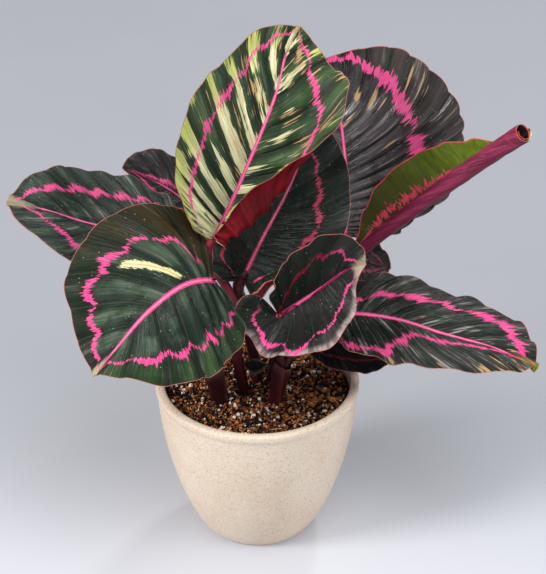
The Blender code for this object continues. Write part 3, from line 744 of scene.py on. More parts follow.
def swept_tube(name, path, radii, sides=20, flute=0.04, flutes=7):
    """A round stalk on a path (mm), finely fluted, with pointed ends. UV: along, around."""
    path = np.asarray(path, float)
    radii = np.asarray(radii, float)
    tangents = unit(np.gradient(path, axis=0))
    side = unit(np.cross(tangents[0], (0.3, 1, 0.1)))
    across = []
    for tangent in tangents:
        side = unit(side - (side @ tangent) * tangent)
        across.append(side)
    over = np.cross(tangents, across)
    angle = np.linspace(0, 2 * math.pi, sides, endpoint=False)[:, None]
    ring = np.cos(angle) * np.array(across)[:, None] + np.sin(angle) * over[:, None]
    points = path[:, None] + ring * (radii[:, None] * (1 + flute * np.cos(flutes * angle[:, 0])))[..., None]
    lengths = np.concatenate([[0], np.cumsum(np.linalg.norm(np.diff(path, axis=0), axis=1))])
    place = lengths / lengths[-1]
    form = bmesh.new()
    layer = form.loops.layers.uv.new("UVMap")
    rings = [[form.verts.new(p * MM) for p in row] for row in points]
    last = len(path) - 1
    poles = {
        row: form.verts.new((path[row] + tangents[row] * out * radii[row]) * MM)
        for row, out in ((0, -0.4), (last, 0.6))
    }

    def add_face(corners, places):
        made = form.faces.new(corners)
        for loop, (row, column) in zip(made.loops, places):
            loop[layer].uv = (place[row], column / sides)

    for j in range(sides):
        k = (j + 1) % sides
        for i in range(last):
            corners = (rings[i][j], rings[i][k], rings[i + 1][k], rings[i + 1][j])
            add_face(corners, ((i, j), (i, j + 1), (i + 1, j + 1), (i + 1, j)))
        for row, pole in poles.items():
            add_face((rings[row][j], rings[row][k], pole), [(row, j)] * 3)
    bmesh.ops.recalc_face_normals(form, faces=form.faces)
    mesh = mesh_of(form, name)
    mesh.shade_smooth()
    return mesh


# ---------------------------------------------------------------- node trees


class Signal:
    """One output of a node, to be added, taken away and multiplied in a formula."""

    def __init__(self, graph, socket):
        self.graph, self.socket = graph, socket

    def __add__(self, other):
        return self.graph.math("ADD", self, other)

    def __sub__(self, other):
        return self.graph.math("SUBTRACT", self, other)

    def __rsub__(self, other):
        return self.graph.math("SUBTRACT", other, self)

    def __mul__(self, other):
        return self.graph.math("MULTIPLY", self, other)

    def __abs__(self):
        return self.graph.math("ABSOLUTE", self)

    __radd__ = __add__
    __rmul__ = __mul__


class Outputs:
    """The outputs of a node, by name or by place."""

    def __init__(self, graph, node):
        self.graph, self.node = graph, node

    def __getitem__(self, key):
        return Signal(self.graph, self.node.outputs[key])


def palette(name):
    return (*getattr(bpy.context.scene.calathea_colours, name), 1.0)


def declare_input(tree, label, kind, default):
    socket = tree.interface.new_socket(label, in_out="INPUT", socket_type="NodeSocket" + kind)
    if default is not None:
        socket.default_value = default


class Graph:
    """A node tree being wired. Each call adds a node and returns its main output."""

    def __init__(self, tree):
        self.tree = tree

    def feed(self, socket, value):
        if isinstance(value, Signal):
            self.tree.links.new(value.socket, socket)
        elif value is not None:
            socket.default_value = value

    def add(self, kind, inputs=(), **settings):
        """A new node's outputs. Its inputs are fed by name, or in order."""
        node = self.tree.nodes.new(kind)
        for key, setting in settings.items():
            setattr(node, key, setting)
        for key, value in inputs.items() if isinstance(inputs, dict) else enumerate(inputs):
            self.feed(node.inputs[key], value)
        return Outputs(self, node)

    def math(self, operation, a, b=None, clamp=False):
        return self.add("ShaderNodeMath", (a, b), operation=operation, use_clamp=clamp)[0]

    def inverse(self, a):
        return self.math("SUBTRACT", 1.0, a, clamp=True)

    def step(self, value, low, high, start=0.0, end=1.0):
        """A smooth step from start, where the value is low, to end, where it is high."""
        inputs = {"Value": value, "From Min": low, "From Max": high, "To Min": start, "To Max": end}
        return self.add("ShaderNodeMapRange", inputs, interpolation_type="SMOOTHSTEP")[0]

    def between(self, value, start, end):
        return self.step(value, 0.0, 1.0, start, end)

    def mix(self, share, *colours):
        """A blend from one colour to another, each a signal or a name in the palette."""
        a, b = (palette(colour) if isinstance(colour, str) else colour for colour in colours)
        return self.add("ShaderNodeMix", {0: share, 6: a, 7: b}, data_type="RGBA")[2]

    def vector(self, x, y, z=0.0):
        return self.add("ShaderNodeCombineXYZ", (x, y, z))[0]

    def vector_math(self, operation, a, b):
        return self.add("ShaderNodeVectorMath", (a, b), operation=operation)[0]

    def scaled(self, vector, scale):
        return self.add("ShaderNodeVectorMath", {0: vector, "Scale": scale}, operation="SCALE")[0]

    def split(self, vector):
        return self.add("ShaderNodeSeparateXYZ", (vector,))

    def noise(self, vector, scale=1.0, detail=2.0, roughness=0.5):
        inputs = {"Vector": vector, "Scale": scale, "Detail": detail, "Roughness": roughness}
        return self.add("ShaderNodeTexNoise", inputs, noise_dimensions="3D")[0]

    def random(self, vector):
        return self.add("ShaderNodeTexWhiteNoise", (vector,), noise_dimensions="3D")["Value"]

    def value(self, name):
        return self.add("ShaderNodeAttribute", attribute_name=name)["Fac"]

    def position(self):
        return self.add("ShaderNodeTexCoord")["Object"]

    def map(self):
        return self.split(self.add("ShaderNodeUVMap", uv_map="UVMap")[0])

    def group(self, name, **inputs):
        """A shared node group's outputs. It is built the first time it is asked for."""
        tree = bpy.data.node_groups.get(name) or GROUP_MAKERS[name](name)
        return self.add("ShaderNodeGroup", inputs, node_tree=tree)

    def give(self, **outputs):
        """Ends a node group with its outputs."""
        for label in outputs:
            self.tree.interface.new_socket(label, in_out="OUTPUT", socket_type="NodeSocketFloat")
        self.add("NodeGroupOutput", outputs)
        return self.tree


def new_group(name, **inputs):
    """A new shader node group's graph and its inputs: a number is a default, None is a vector."""
    tree = bpy.data.node_groups.new(name, "ShaderNodeTree")
    for label, default in inputs.items():
        declare_input(tree, label, "Vector" if default is None else "Float", default)
    g = Graph(tree)
    return g, g.add("NodeGroupInput")


def jagged_ring(name):
    """The painted ring: a band about a place out from the midrib, with teeth that follow the veins."""
    g, given = new_group(
        name, Along=0.0, Out=0.0, Place=0.6, Width=0.08, Teeth=0.07, Fineness=150.0, Start=0.06, Seed=0.0
    )
    along, out, seed = given["Along"], given["Out"], given["Seed"]
    fine = along * given["Fineness"]
    offset = out - given["Place"]
    swell = g.noise(g.vector(along * 17.0, seed), detail=1.0)
    half = given["Width"] * g.step(swell, 0.3, 0.7, 0.2, 0.6)
    mask = g.step(along, given["Start"], given["Start"] + 0.2)
    for shift, distance in ((3.1, offset), (9.7, offset * -1.0)):
        tooth = g.noise(g.vector(fine, out * 4.0, seed + shift), roughness=0.8) - 0.5
        reach = half + tooth * 2.4 * given["Teeth"]
        mask = mask * g.step(reach - distance, 0.0, 0.008)
    return g.give(Mask=mask)


def vein_pattern(name):
    """Side veins: pillows between them, thin lines on them, and brushed tones along them."""
    g, given = new_group(name, Along=0.0, Out=0.0, Veins=11.0, Seed=0.0)
    along, out, seed = given["Along"], given["Out"], given["Seed"]
    phase = along * given["Veins"]
    share = g.math("FRACT", phase)
    near = g.math("MINIMUM", share, 1.0 - share)

    def strokes(fineness, width, shift, detail, roughness, low, high):
        where = g.vector(along * fineness, out * width, seed + shift)
        return g.step(g.noise(where, detail=detail, roughness=roughness), low, high)

    return g.give(
        Pillow=g.step(near, 0.0, 0.42),
        Line=g.step(near, 0.05, 0.0),
        Tone=g.random(g.vector(g.math("FLOOR", phase), seed)),
        # Painted light: each pillow is lighter beside one vein and darker towards the next.
        Slant=g.step(share, 0.02, 0.3) * g.step(share, 1.0, 0.45),
        Brush=strokes(46.0, 1.9, 0.0, 3.0, 0.6, 0.32, 0.7),
        Fibre=strokes(230.0, 1.6, 4.0, 2.0, 0.6, 0.3, 0.7),
        Blot=strokes(9.0, 3.2, 8.0, 3.0, 0.55, 0.36, 0.66),
    )


def feathered_flames(name):
    """Feathered patches of another colour that run along the veins."""
    g, given = new_group(name, Along=0.0, Out=0.0, Amount=0.3, Patches=8.0, Seed=0.0)
    along, out, seed = given["Along"], given["Out"], given["Seed"]
    patch = g.noise(g.vector(along * given["Patches"], out * 2.6, seed))
    flame = g.noise(g.vector(along * 95.0, out * 1.5, seed + 5.0), detail=2.5, roughness=0.7)
    bound = g.step(given["Amount"], 0.0, 1.1, 0.78, 0.45)
    return g.give(Mask=g.step(patch * 0.55 + flame * 0.6 - bound, 0.0, 0.05))


def scattered_specks(name):
    """Small scattered spots: each cell of a random scatter may hold one."""
    g, given = new_group(name, Vector=None, Scale=900.0, Size=0.25, Share=0.3)
    inputs = {key: given[key] for key in ("Vector", "Scale")}
    cells = g.add("ShaderNodeTexVoronoi", inputs, feature="F1")
    chance = g.split(cells["Color"])
    held = g.step(given["Share"] - chance[0], 0.0, 0.02)
    size = given["Size"] * (0.45 + chance[1])
    return g.give(Mask=g.step(size - cells["Distance"], 0.0, 0.07) * held)


def stalk_strands(name):
    """Long fine strands and soft blotches along a stalk, from its (along, around) map."""
    g, given = new_group(name, Along=0.0, Around=0.0, Length=1.0, Seed=0.0)
    turn = given["Around"] * (2 * math.pi)
    across, over = g.math("COSINE", turn), g.math("SINE", turn)
    run = given["Along"] * given["Length"] * 3.0
    fine = g.vector_math("MULTIPLY", g.vector(across, over, run), (7.0, 7.0, 0.8))
    shifted = g.vector_math("ADD", fine, g.vector(given["Seed"], 0.0, 0.0))
    blotch = g.noise(g.vector(across, over + given["Seed"], run), scale=1.4, detail=3.0)
    return g.give(
        Strand=g.step(g.noise(shifted, detail=3.0, roughness=0.6), 0.3, 0.7),
        Blotch=g.step(blotch, 0.35, 0.68),
    )


GROUP_MAKERS = {
    made.__name__: made
    for made in (jagged_ring, vein_pattern, feathered_flames, scattered_specks, stalk_strands)
}


class Paint(Graph):
    """A material being made."""

    def __init__(self, name, specular):
        self.made = bpy.data.materials.new(name)
        self.made.use_nodes = True
        super().__init__(self.made.node_tree)
        self.specular, self.colour = specular, None

    def paint(self, share, colour):
        """Paints a share of another colour over what is there."""
        self.colour = self.mix(share, self.colour, colour)

    def done(self, roughness, height=None, strength=0.0, depth=0.0, **more):
        """The finished material. Its bump's depth is in metres."""
        shader = {"Base Color": self.colour, "Roughness": roughness, **more}
        shader["Specular IOR Level"] = self.specular
        if height is not None:
            bump = {"Height": height, "Strength": strength, "Distance": depth}
            shader["Normal"] = self.add("ShaderNodeBump", bump)[0]
        sockets = self.tree.nodes["Principled BSDF"].inputs
        for key, value in shader.items():
            self.feed(sockets[key.replace("_", " ")], value)
        return self.made


class BladePaint(Paint):
    """A blade's material being made, with where each point is on the blade."""

    def __init__(self, name, specular, seed, veins):
        super().__init__(name, specular)
        place = self.map()
        self.along = place[0]
        self.out = abs(place[1] * 2.0 - 1.0)
        self.on_left = self.math("LESS_THAN", place[1], 0.5)
        self.seed = self.on_left * 17.3 + seed * 3.7
        self.veins = self.on_blade("vein_pattern", Veins=float(veins))
        self.edge = self.value("edge_distance")

    def on_blade(self, name, shift=0.0, **inputs):
        """A shared node group that follows the blade."""
        return self.group(name, Along=self.along, Out=self.out, Seed=self.seed + shift, **inputs)

    def grain(self, along, out, depth, **settings):
        """Noise stretched along the veins."""
        return self.noise(self.vector(self.along * along, self.out * out, depth), **settings)


def brushed_greens(g, look, ring_place):
    """The upper face's ground: two greens, darker between the veins, and another colour past the ring."""
    along, out, veins = g.along, g.out, g.veins
    # The lighter green follows brushed tones and, as painted light, each pillow's lit side.
    lively = veins["Brush"] * 0.35 + veins["Tone"] * 0.3 + veins["Slant"] * 0.55
    lively = lively * (0.12 + veins["Blot"]) * g.between(veins["Fibre"], 0.75, 1.15)
    g.colour = g.mix(lively * look.tone, look.inner, look.tone_and_sheen)
    outer = look.border
    # A right half may have its own colour past the ring; the front left blade's bronze there is painted shade
    # where that half tilts away.
    if look.border_right:
        outer = g.mix(g.on_left, look.border_right, outer)
    # Past the ring too, each pillow's lit side is painted lighter.
    rim = g.mix(veins["Brush"] * 0.35 + veins["Slant"] * 0.3, look.inner, outer)
    beyond = g.step(out - ring_place, -0.01, 0.03)
    g.paint(beyond * (0.6 + veins["Blot"] * 0.4), rim)
    # Painted light shining through the blade: brown past the ring on the right half, towards the base.
    if look.light_through:
        place = g.step(along, 0.66, 0.3) * g.inverse(g.on_left)
        light_through = place * g.step(out - ring_place, -0.02, 0.12) * look.light_through
        g.paint(light_through * 0.85, "warm_brown")
    # Painted shade in the grooves beside the veins, with the fine fibre lines darkened too.
    shade = g.inverse(veins["Pillow"]) * 0.55 + g.inverse(veins["Fibre"]) * 0.35
    g.paint(shade, "leaf_black")
    # Painted glints: fine pale streaks, strongest on each pillow's lit side and in patches.
    if look.glint:
        painted_glints = g.grain(85.0, 1.8, g.seed + 2.0, detail=4.0, roughness=0.6)
        painted_glints = g.step(painted_glints, 0.5, 0.74) * (0.3 + veins["Slant"]) * g.between(veins["Blot"], 0.25, 1.5)
        g.paint(painted_glints * look.glint, "leaf_streak")
    g.paint(veins["Line"] * (g.step(out, 0.03, 0.2) * 0.22), "vein_line")


def cream_patches(g, look):
    """Cream flames from the midrib, peach flecks, one long streak, and a pale tip."""
    along, out, on_left, veins = g.along, g.out, g.on_left, g.veins
    if look.cream or look.cream_base:
        amount = g.step(along, 0.4, 0.08) * look.cream_base + g.step(out, 0.6, 0.05, 0.0, 0.3)
        amount = amount + on_left * look.cream_left + on_left * g.step(out, 0.55, 0.9) * 0.3
        # Cream gathers on each pillow's lit side: a painted highlight over the leaf's own cream.
        amount = amount + (veins["Tone"] - 0.5) * 0.45 + (veins["Slant"] - 0.5) * 1.3
        flames = g.on_blade("feathered_flames", 30.0, Amount=(amount + look.cream) * 0.5)
        tint = g.mix(g.step(out, 0.55, 1.0), "cream", "lime")
        tint = g.mix(g.inverse(veins["Fibre"]) * 0.4, tint, "leaf_fresh")
        g.paint(flames["Mask"] * g.between(veins["Brush"], 0.7, 1.0), tint)
    if look.peach:
        amount = g.step(along, 0.2, 0.8, 0.3, 1.0) * (look.peach * 0.5)
        flecks = g.on_blade("feathered_flames", 51.0, Amount=amount, Patches=13.0)
        g.paint(flecks["Mask"] * 0.8, "peach")
    if look.streak:
        start, end, place, slope, half = look.streak
        feather = g.grain(230.0, 17.0, 2.0, roughness=0.7) - 0.5
        middle = abs(along - (place + out * slope))
        frayed = out + feather * 0.16
        ends = g.step(frayed, start, start + 0.03) * g.step(frayed, end, end - 0.03)
        band = g.step(half + feather * (half * 1.9) - middle, 0.0, 0.006)
        patch = band * ends * g.inverse(on_left)
        pale = g.mix(g.inverse(veins["Fibre"]) * 0.7, "cream", "lime")
        g.paint(patch * 0.92, pale)
        thread = g.step(middle, 0.0022, 0.0012)
        g.paint(thread * patch * 0.8, "ring_rose")
    if look.tip_cream:
        near_tip = g.step(along + g.grain(60.0, 6.0, g.seed) * 0.06, 0.94, 0.99)
        g.paint(near_tip * look.tip_cream, look.tip)


def painted_ring(g, look, ring_place):
    """The pink ring, over the parts of the blade that are darker or paler than the rest."""
    along, on_left = g.along, g.on_left
    ring = g.on_blade(
        "jagged_ring", Place=ring_place, Width=look.ring_width, Teeth=0.8 * look.ring_width + 0.03
    )
    painted = ring["Mask"]
    blush = g.mix(g.veins["Fibre"] * 0.25, look.ring, "ring_light")
    # Painted shade: the left half, from the base over most of its length, is painted near black and its ring
    # deeper.
    if look.shade_left:
        shaded = on_left * g.step(along, 0.82, 0.7) * look.shade_left
        g.paint(shaded * 0.9, "leaf_black")
        blush = g.mix(shaded, blush, "ring_deep")
    if look.pale_margin:
        glow = g.step(g.edge, 6.0, 1.0) * look.pale_margin * g.between(g.veins["Brush"], 0.3, 1.0)
        g.paint(glow * g.inverse(on_left), "pale_rim")
    # Painted shade: the right half's lobe at the base is painted near black.
    if look.shade_lobe:
        lobe = g.step(along, 0.34, 0.16) * g.inverse(on_left) * look.shade_lobe
        g.paint(lobe, "leaf_black")
    if look.late_ring:
        begun = g.step(along, look.late_ring - 0.1, look.late_ring + 0.05)
        painted = painted * g.math("MAXIMUM", on_left, begun)
    g.paint(painted * 0.97, blush)


def upper_face_material(name, look, seed):
    """A blade's upper face: brushed greens, cream patches, painted ring, midrib and thin edge."""
    g = BladePaint(name, look.gloss, seed, look.veins)
    along, out, veins = g.along, g.out, g.veins
    ring_place, rib_place = g.value("ring_place"), g.value("rib_place")
    brushed_greens(g, look, ring_place)
    cream_patches(g, look)
    painted_ring(g, look, ring_place)
    # The turned-over margin is painted, not modelled: its wine underside, darkened towards stalk_deep as
    # painted shade, and a salmon line at the fold.
    if look.turned:
        place, limit = look.turned
        waver = g.noise(g.vector(along * 13.0, 3.0)) - 0.5
        line = out - (place + waver * 0.3)
        lower = g.inverse(g.on_left) * g.step(along, limit, limit - 0.12)
        wine = g.mix(veins["Brush"] * 0.5, "stalk_deep", "sheath_wine")
        g.paint(lower * g.step(line, 0.0, 0.02), wine)
        g.paint(lower * g.step(abs(line), 0.03, 0.012), "salmon_edge")
    rib_edge = rib_place + (g.grain(150.0, 40.0, 1.0, detail=1.0) - 0.5)
    rib = g.step(rib_edge, 1.12, 0.92) * g.step(along, 0.985, 0.9)
    # The midrib's middle is lighter pink: partly its own paler colour, partly a painted highlight along its
    # crest.
    g.paint(rib, g.mix(g.step(rib_place, 0.55, 0.1), look.ring, "ring_light"))
    g.paint(g.step(g.edge, 0.5, 0.2), "salmon_edge")
    # Tiny pale specks: partly dirt settled on the leaf, partly painted glints.
    dust = g.group("scattered_specks", Vector=g.position(), Scale=520.0, Size=0.17, Share=0.16)["Mask"]
    g.paint(dust * 0.8, "dust")
    worn = g.between(veins["Blot"], look.roughness - 0.12, look.roughness + 0.08) + dust * 0.2
    height = veins["Fibre"] * 0.35 + veins["Pillow"] * 0.5 + veins["Brush"] * 0.25
    return g.done(worn, height, 0.8, 0.0009)


def under_face_material(name, look, seed, tint):
    """A blade's underside: wine red, or another tint, redder along its veins and midrib."""
    g = BladePaint(name, 0.12, seed, look.veins)
    veins = g.veins
    g.colour = g.mix(veins["Brush"] * 0.5 + veins["Blot"] * 0.4, tint, "wine_light")
    g.paint(veins["Line"] * 0.5, "ring_deep")
    g.paint(g.step(g.value("rib_place"), 1.5, 0.9) * 0.8, "stalk_red")
    g.paint(g.step(g.edge, 0.9, 0.4), "salmon_edge")
    height = veins["Fibre"] * 0.5 + veins["Line"] * 0.8
    return g.done(g.between(veins["Blot"], 0.36, 0.5), height, 0.5, 0.0006)


def bract_material():
    """The dry bract: brittle grey-brown with pale ribs and a lighter rim."""
    g = BladePaint("dry_bract", 0.3, 4.0, 6)
    veins = g.veins
    g.colour = g.mix(veins["Blot"], "bract_dark", "bract_light")
    g.paint(veins["Brush"] * 0.4, "bract_light")
    g.paint(g.step(g.edge, 0.9, 0.3), "bract_rim")
    return g.done(g.between(veins["Blot"], 0.6, 0.8), veins["Brush"] + veins["Line"], 0.6, 0.0008)


def edge_material():
    """The thin cut edge of a blade: salmon, mottled with brown."""
    made = bpy.data.materials.get("leaf_edge")
    if made:
        return made
    g = Paint("leaf_edge", 0.3)
    tone = g.noise(g.position(), scale=160.0, detail=3.0)
    g.colour = g.mix(g.step(tone, 0.35, 0.65), "salmon_edge", "edge_brown")
    return g.done(g.step(tone, 0.3, 0.7, 0.4, 0.6))


def stalk_material(name, lit, deep, length, foot):
    """A stalk: wine red, with long strands, blotches and brown specks, and darker from its foot up."""
    g = Paint(name, 0.28)
    place = g.map()
    strands = g.group("stalk_strands", Along=place[0], Around=place[1], Length=length, Seed=length)
    g.colour = g.mix(strands["Blotch"], deep, lit)
    g.paint(strands["Strand"] * 0.45, lit)
    low = g.mix(strands["Strand"], "stalk_deep", "stalk_wine")
    g.paint(g.step(place[0], foot, foot - 0.22) * 0.9, low)
    specks = g.group("scattered_specks", Vector=g.position(), Scale=520.0, Size=0.2, Share=0.12)
    g.paint(specks["Mask"] * 0.4, "stalk_brown")
    return g.done(g.between(strands["Blotch"], 0.3, 0.46), strands["Strand"], 0.5, 0.0004)


def sheath_material(name, body):
    """A stem's sheath: dark wine with strands, and a papery pinkish lip along its free edges."""
    g = Paint(name, 0.22)
    place, edge = g.map(), g.value("edge_distance")
    strands = g.group("stalk_strands", Along=place[0], Around=place[1], Length=2.0, Seed=7.0)
    g.colour = g.mix(strands["Strand"] * 0.4 + strands["Blotch"] * 0.5, body, "stalk_deep")
    g.paint(g.step(edge, 0.6, 0.2), "sheath_lip")
    g.paint(g.step(edge, 4.5, 0.5) * 0.3, "sheath_brown")
    return g.done(g.between(strands["Blotch"], 0.34, 0.52), strands["Strand"], 0.6, 0.0005)


def wound_place(turns):
    """Where the roll's map is, across its columns, some turns on from the flap's foot."""
    return FLAP_SHARE + turns * (1 - FLAP_SHARE) / ROLL_TURNS


def roll_outer_material():
    """The rolled leaf's outside: magenta wine with diagonal wrinkles; its flap's back is the same."""
    g = Paint("rolled_leaf_outside", 0.25)
    place = g.map()
    slant = place[1] + place[0] * 0.5
    fine = g.vector(slant * 75.0, place[0] * 6.0, 3.0)
    fibre = g.step(g.noise(fine, detail=3.0, roughness=0.6), 0.32, 0.68)
    blot = g.step(g.noise(g.vector(slant * 16.0, place[0] * 3.0, 9.0)), 0.35, 0.66)
    g.colour = g.mix(blot * 0.55, "tube_red", "tube_light")
    g.paint(fibre * 0.5, "tube_deep")
    # Painted shade along the roll's lower side and over its flap's back.
    under = g.step(place[1], wound_place(0.46), wound_place(0.22))
    g.paint(under * 0.75, "tube_deep")
    # A lighter line near the tip: a painted highlight along a crease, kept off the painted shade.
    crease = abs(place[0] - (0.945 + (place[1] - wound_place(0.5)) * -0.12))
    crease = g.step(crease, 0.004, 0.0015) * g.inverse(under)
    g.paint(crease * 0.7, "stalk_pink")
    g.paint(g.step(place[0], 0.995, 0.998), "roll_rim")
    return g.done(g.between(blot, 0.3, 0.45), fibre, 0.6, 0.0006)


def roll_inner_material():
    """The rolled leaf's upper face: olive on the open flap, coral towards the roll, cream inside."""
    g = Paint("rolled_leaf_inside", 0.2)
    place, loose = g.map(), g.value("flap_place")
    along, across = place[0], place[1]
    veins = g.group("vein_pattern", Along=along, Out=loose, Veins=13.0, Seed=3.0)
    fresh = (veins["Brush"] * 0.55 + 0.35) * g.step(along, 0.15, 0.75)
    g.colour = g.mix(fresh, "flap_olive", "flap_green")
    # Painted shade in the grooves beside the flap's veins.
    g.paint(g.inverse(veins["Pillow"]) * 0.15, "leaf_border")
    band = {"Place": g.step(along, 0.1, 0.7, 0.36, 0.12), "Width": 0.2, "Teeth": 0.34, "Fineness": 80.0}
    ring = g.group("jagged_ring", Along=along, Out=loose, Start=-0.1, Seed=5.0, **band)
    g.paint(ring["Mask"] * g.step(along, 0.66, 0.58), "coral")
    # Inside the roll the face is painted near black: painted shade in its hollow.
    inside = g.step(loose, 0.02, 0.0)
    g.paint(inside, "stalk_deep")
    g.paint(inside * g.step(along, 0.993, 0.998), "roll_rim")
    lower = inside * g.step(across, wound_place(0.42), wound_place(0.3))
    lower = lower * g.step(across, wound_place(0.02), wound_place(0.12))
    g.paint(lower * g.step(along, 0.95, 0.985), "cream")
    free = g.step(g.value("edge_distance"), 0.8, 0.35) * g.step(along, 0.96, 0.92)
    g.paint(free, "coral")
    height = veins["Fibre"] + veins["Pillow"]
    return g.done(g.between(veins["Blot"], 0.34, 0.48), height, 0.5, 0.0006)


# Speckles in the glaze, fine to coarse: scale, size, share of cells, colour, strength.
SPECKLES = (
    (1500.0, 0.34, 0.5, "glaze_fleck", 0.85),
    (900.0, 0.24, 0.4, "speckle", 0.9),
    (480.0, 0.17, 0.3, "speckle", 0.9),
    (230.0, 0.1, 0.16, "speckle_dark", 0.9),
)


def glaze_material():
    """The pot's satin glaze: cream with dense fine rust speckles and a few larger dark ones."""
    g = Paint("speckled_glaze", 0.45)
    position = g.position()
    squashed = g.vector_math("MULTIPLY", position, (1.0, 1.0, 1.5))
    cloud = g.noise(position, scale=26.0, detail=4.0, roughness=0.6)
    g.colour = g.mix(g.step(cloud, 0.35, 0.65), "glaze", "glaze_warm")
    grain = g.noise(squashed, scale=620.0, roughness=0.6)
    g.paint(g.step(grain, 0.52, 0.8, 0.0, 0.4), "glaze_fleck")
    pits = 0.0
    for scale, size, share, tint, strength in SPECKLES:
        specks = g.group("scattered_specks", Vector=squashed, Scale=scale, Size=size, Share=share)
        g.paint(specks["Mask"] * strength, tint)
        pits = g.math("MAXIMUM", pits, specks["Mask"])
    worn = g.step(cloud, 0.3, 0.7, 0.34, 0.46) + pits * 0.12
    return g.done(worn, g.noise(position, scale=70.0) - pits * 0.25, 0.35, 0.0004)


def crumb_material(name, dark, light, roughness, bump):
    """Loose bits in the pot: each has its own tone, and finer mottling over it."""
    g = Paint(name, 0.25)
    tone = g.value("tone")
    grain = g.noise(g.position(), scale=700.0, detail=4.0, roughness=0.65)
    share = g.step(tone, 0.12, 0.92) * g.step(grain, 0.42, 0.6, 0.03, 1.25)
    g.colour = g.mix(share + g.step(tone, 0.86, 1.0) * 0.25, dark, light)
    worn = g.step(grain, 0.3, 0.7, roughness - 0.12, roughness + 0.04)
    return g.done(worn, grain, bump, 0.0008)


def floor_material():
    """The plain floor: pale blue-grey, a little lighter towards the viewer."""
    g = Paint("studio_floor", 0.2)
    position = g.position()
    near = g.step(g.split(position)[1], 0.24, -0.24)
    g.colour = g.mix(near, "floor_far", "floor_near")
    grain = g.noise(position, scale=5.0, detail=3.0)
    g.paint(g.step(grain, 0.2, 0.8, 0.0, 0.04), "floor_near")
    # The faint glow is painted light that lifts the shadows on the floor.
    return g.done(0.85, Emission_Color=g.colour, Emission_Strength=0.35)


# ---------------------------------------------------------------- pieces


def add_object(name, data):
    made = bpy.data.objects.new(name, data)
    bpy.context.scene.collection.objects.link(made)
    return made


def add_piece(mesh, slots, node):
    """Adds a finished mesh as a piece of the plant. With a node, it stands for that CAD node."""
    for made in slots:
        mesh.materials.append(made)
    piece = add_object(mesh.name, mesh)
    if node:
        check_place(mesh, node)
        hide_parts(node)
    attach(piece, BODY)
    return piece


def check_place(mesh, node):
    """Raises if a piece's box is not where its CAD node's box is."""
    points = np.zeros(len(mesh.vertices) * 3)
    mesh.vertices.foreach_get("co", points)
    points = points.reshape(-1, 3)
    low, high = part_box(node)
    gap = max(np.abs(points.min(0) - np.array(low)).max(), np.abs(points.max(0) - np.array(high)).max())
    if gap > FIT_TOLERANCE * MM:
        raise RuntimeError(f"{mesh.name} is {gap / MM:.1f} mm away from {node}")


def turned_mesh(name, profile, segments, relief=None):
    """A body turned about +Z from (radius, height) pairs in mm, listed from axis to axis."""
    profile = np.asarray(profile, float)
    angle = np.linspace(0, 2 * math.pi, segments, endpoint=False)
    radius, height = profile[1:-1, :1], profile[1:-1, 1:]
    x, y = radius * np.cos(angle), radius * np.sin(angle)
    grid = np.stack([x, y, height + (relief(x, y) if relief else 0 * x)], -1)
    poles = [[0, 0, grid[end, :, 2].mean()] for end in (0, -1)]
    points = np.concatenate([grid.reshape(-1, 3), poles]) * MM
    count = len(grid) * segments
    index = np.arange(count).reshape(-1, segments)
    turned = np.roll(index, -1, axis=1)
    faces = np.stack([index[:-1], turned[:-1], turned[1:], index[1:]], -1).reshape(-1, 4).tolist()
    faces += [(count, int(b), int(a)) for a, b in zip(index[0], turned[0])]
    faces += [(count + 1, int(a), int(b)) for a, b in zip(index[-1], turned[-1])]
    plain = bpy.data.meshes.new(name)
    plain.from_pydata(points.tolist(), [], faces)
    form = bmesh.new()
    form.from_mesh(plain)
    bpy.data.meshes.remove(plain)
    bmesh.ops.recalc_face_normals(form, faces=form.faces)
    mesh = mesh_of(form, name)
    mesh.shade_smooth()
    mesh.set_sharp_from_angle(angle=math.radians(50))
    return mesh


def pot_radius(sizes, height):
    """Outer radius (mm) of the pot's body at a height."""
    share = 1 - (1 - min(height / sizes.height, 1.0)) ** sizes.flare_power
    return sizes.foot_radius + (sizes.body_radius - sizes.foot_radius) * share**sizes.flare_round


def pot_inside(sizes, height):
    return pot_radius(sizes, height) - sizes.wall + (sizes.rim_radius - sizes.body_radius)


def pot_profile(sizes):
    """The pot's section: floor inside, wall, rounded lip, the bead below it, the body and the foot."""
    crease = sizes.height - sizes.rim_height
    mouth = pot_inside(sizes, sizes.height)
    corner = sizes.floor + 3
    section = [(0, sizes.floor), (pot_inside(sizes, corner) - 3, sizes.floor)]
    section += [(pot_inside(sizes, z), z) for z in np.linspace(corner, crease, 16)]
    middle, round_off = (sizes.rim_radius + mouth) / 2, (sizes.rim_radius - mouth) / 2
    for angle in np.linspace(math.pi, 0, 17):
        lift = LIP_RISE * (math.sin(angle) ** 0.8 - 1)
        section.append((middle + round_off * math.cos(angle), sizes.height + lift))
    rim, under = sizes.rim_radius, pot_radius(sizes, crease)
    section += [(rim, crease + 2.2), (rim - 0.15, crease + 1.3), (rim - 0.45, crease + 0.4)]
    section += [(under + 0.25, crease - 0.5), (under + 0.02, crease - 1.5)]
    section += [(pot_radius(sizes, z), z) for z in np.linspace(crease - 3, 3, 34)]
    foot = sizes.foot_radius
    section += [(pot_radius(sizes, 1.4), 1.4), (foot + 0.4, 0.5), (foot - 0.6, 0), (foot - 5, 0)]
    return section + [(foot - 6, 0.8), (foot - 8, 1.2), (0, 1.2)]


def soil_relief(x, y):
    """How far the potting mix's top rises or dips (mm)."""
    low = np.sin(0.11 * x + 1.3) * np.cos(0.13 * y - 0.4) + 0.6 * np.sin(0.31 * x - 0.27 * y)
    return 0.55 * low + 0.25 * np.sin(0.83 * x + 0.4) * np.sin(0.77 * y + 1.0)


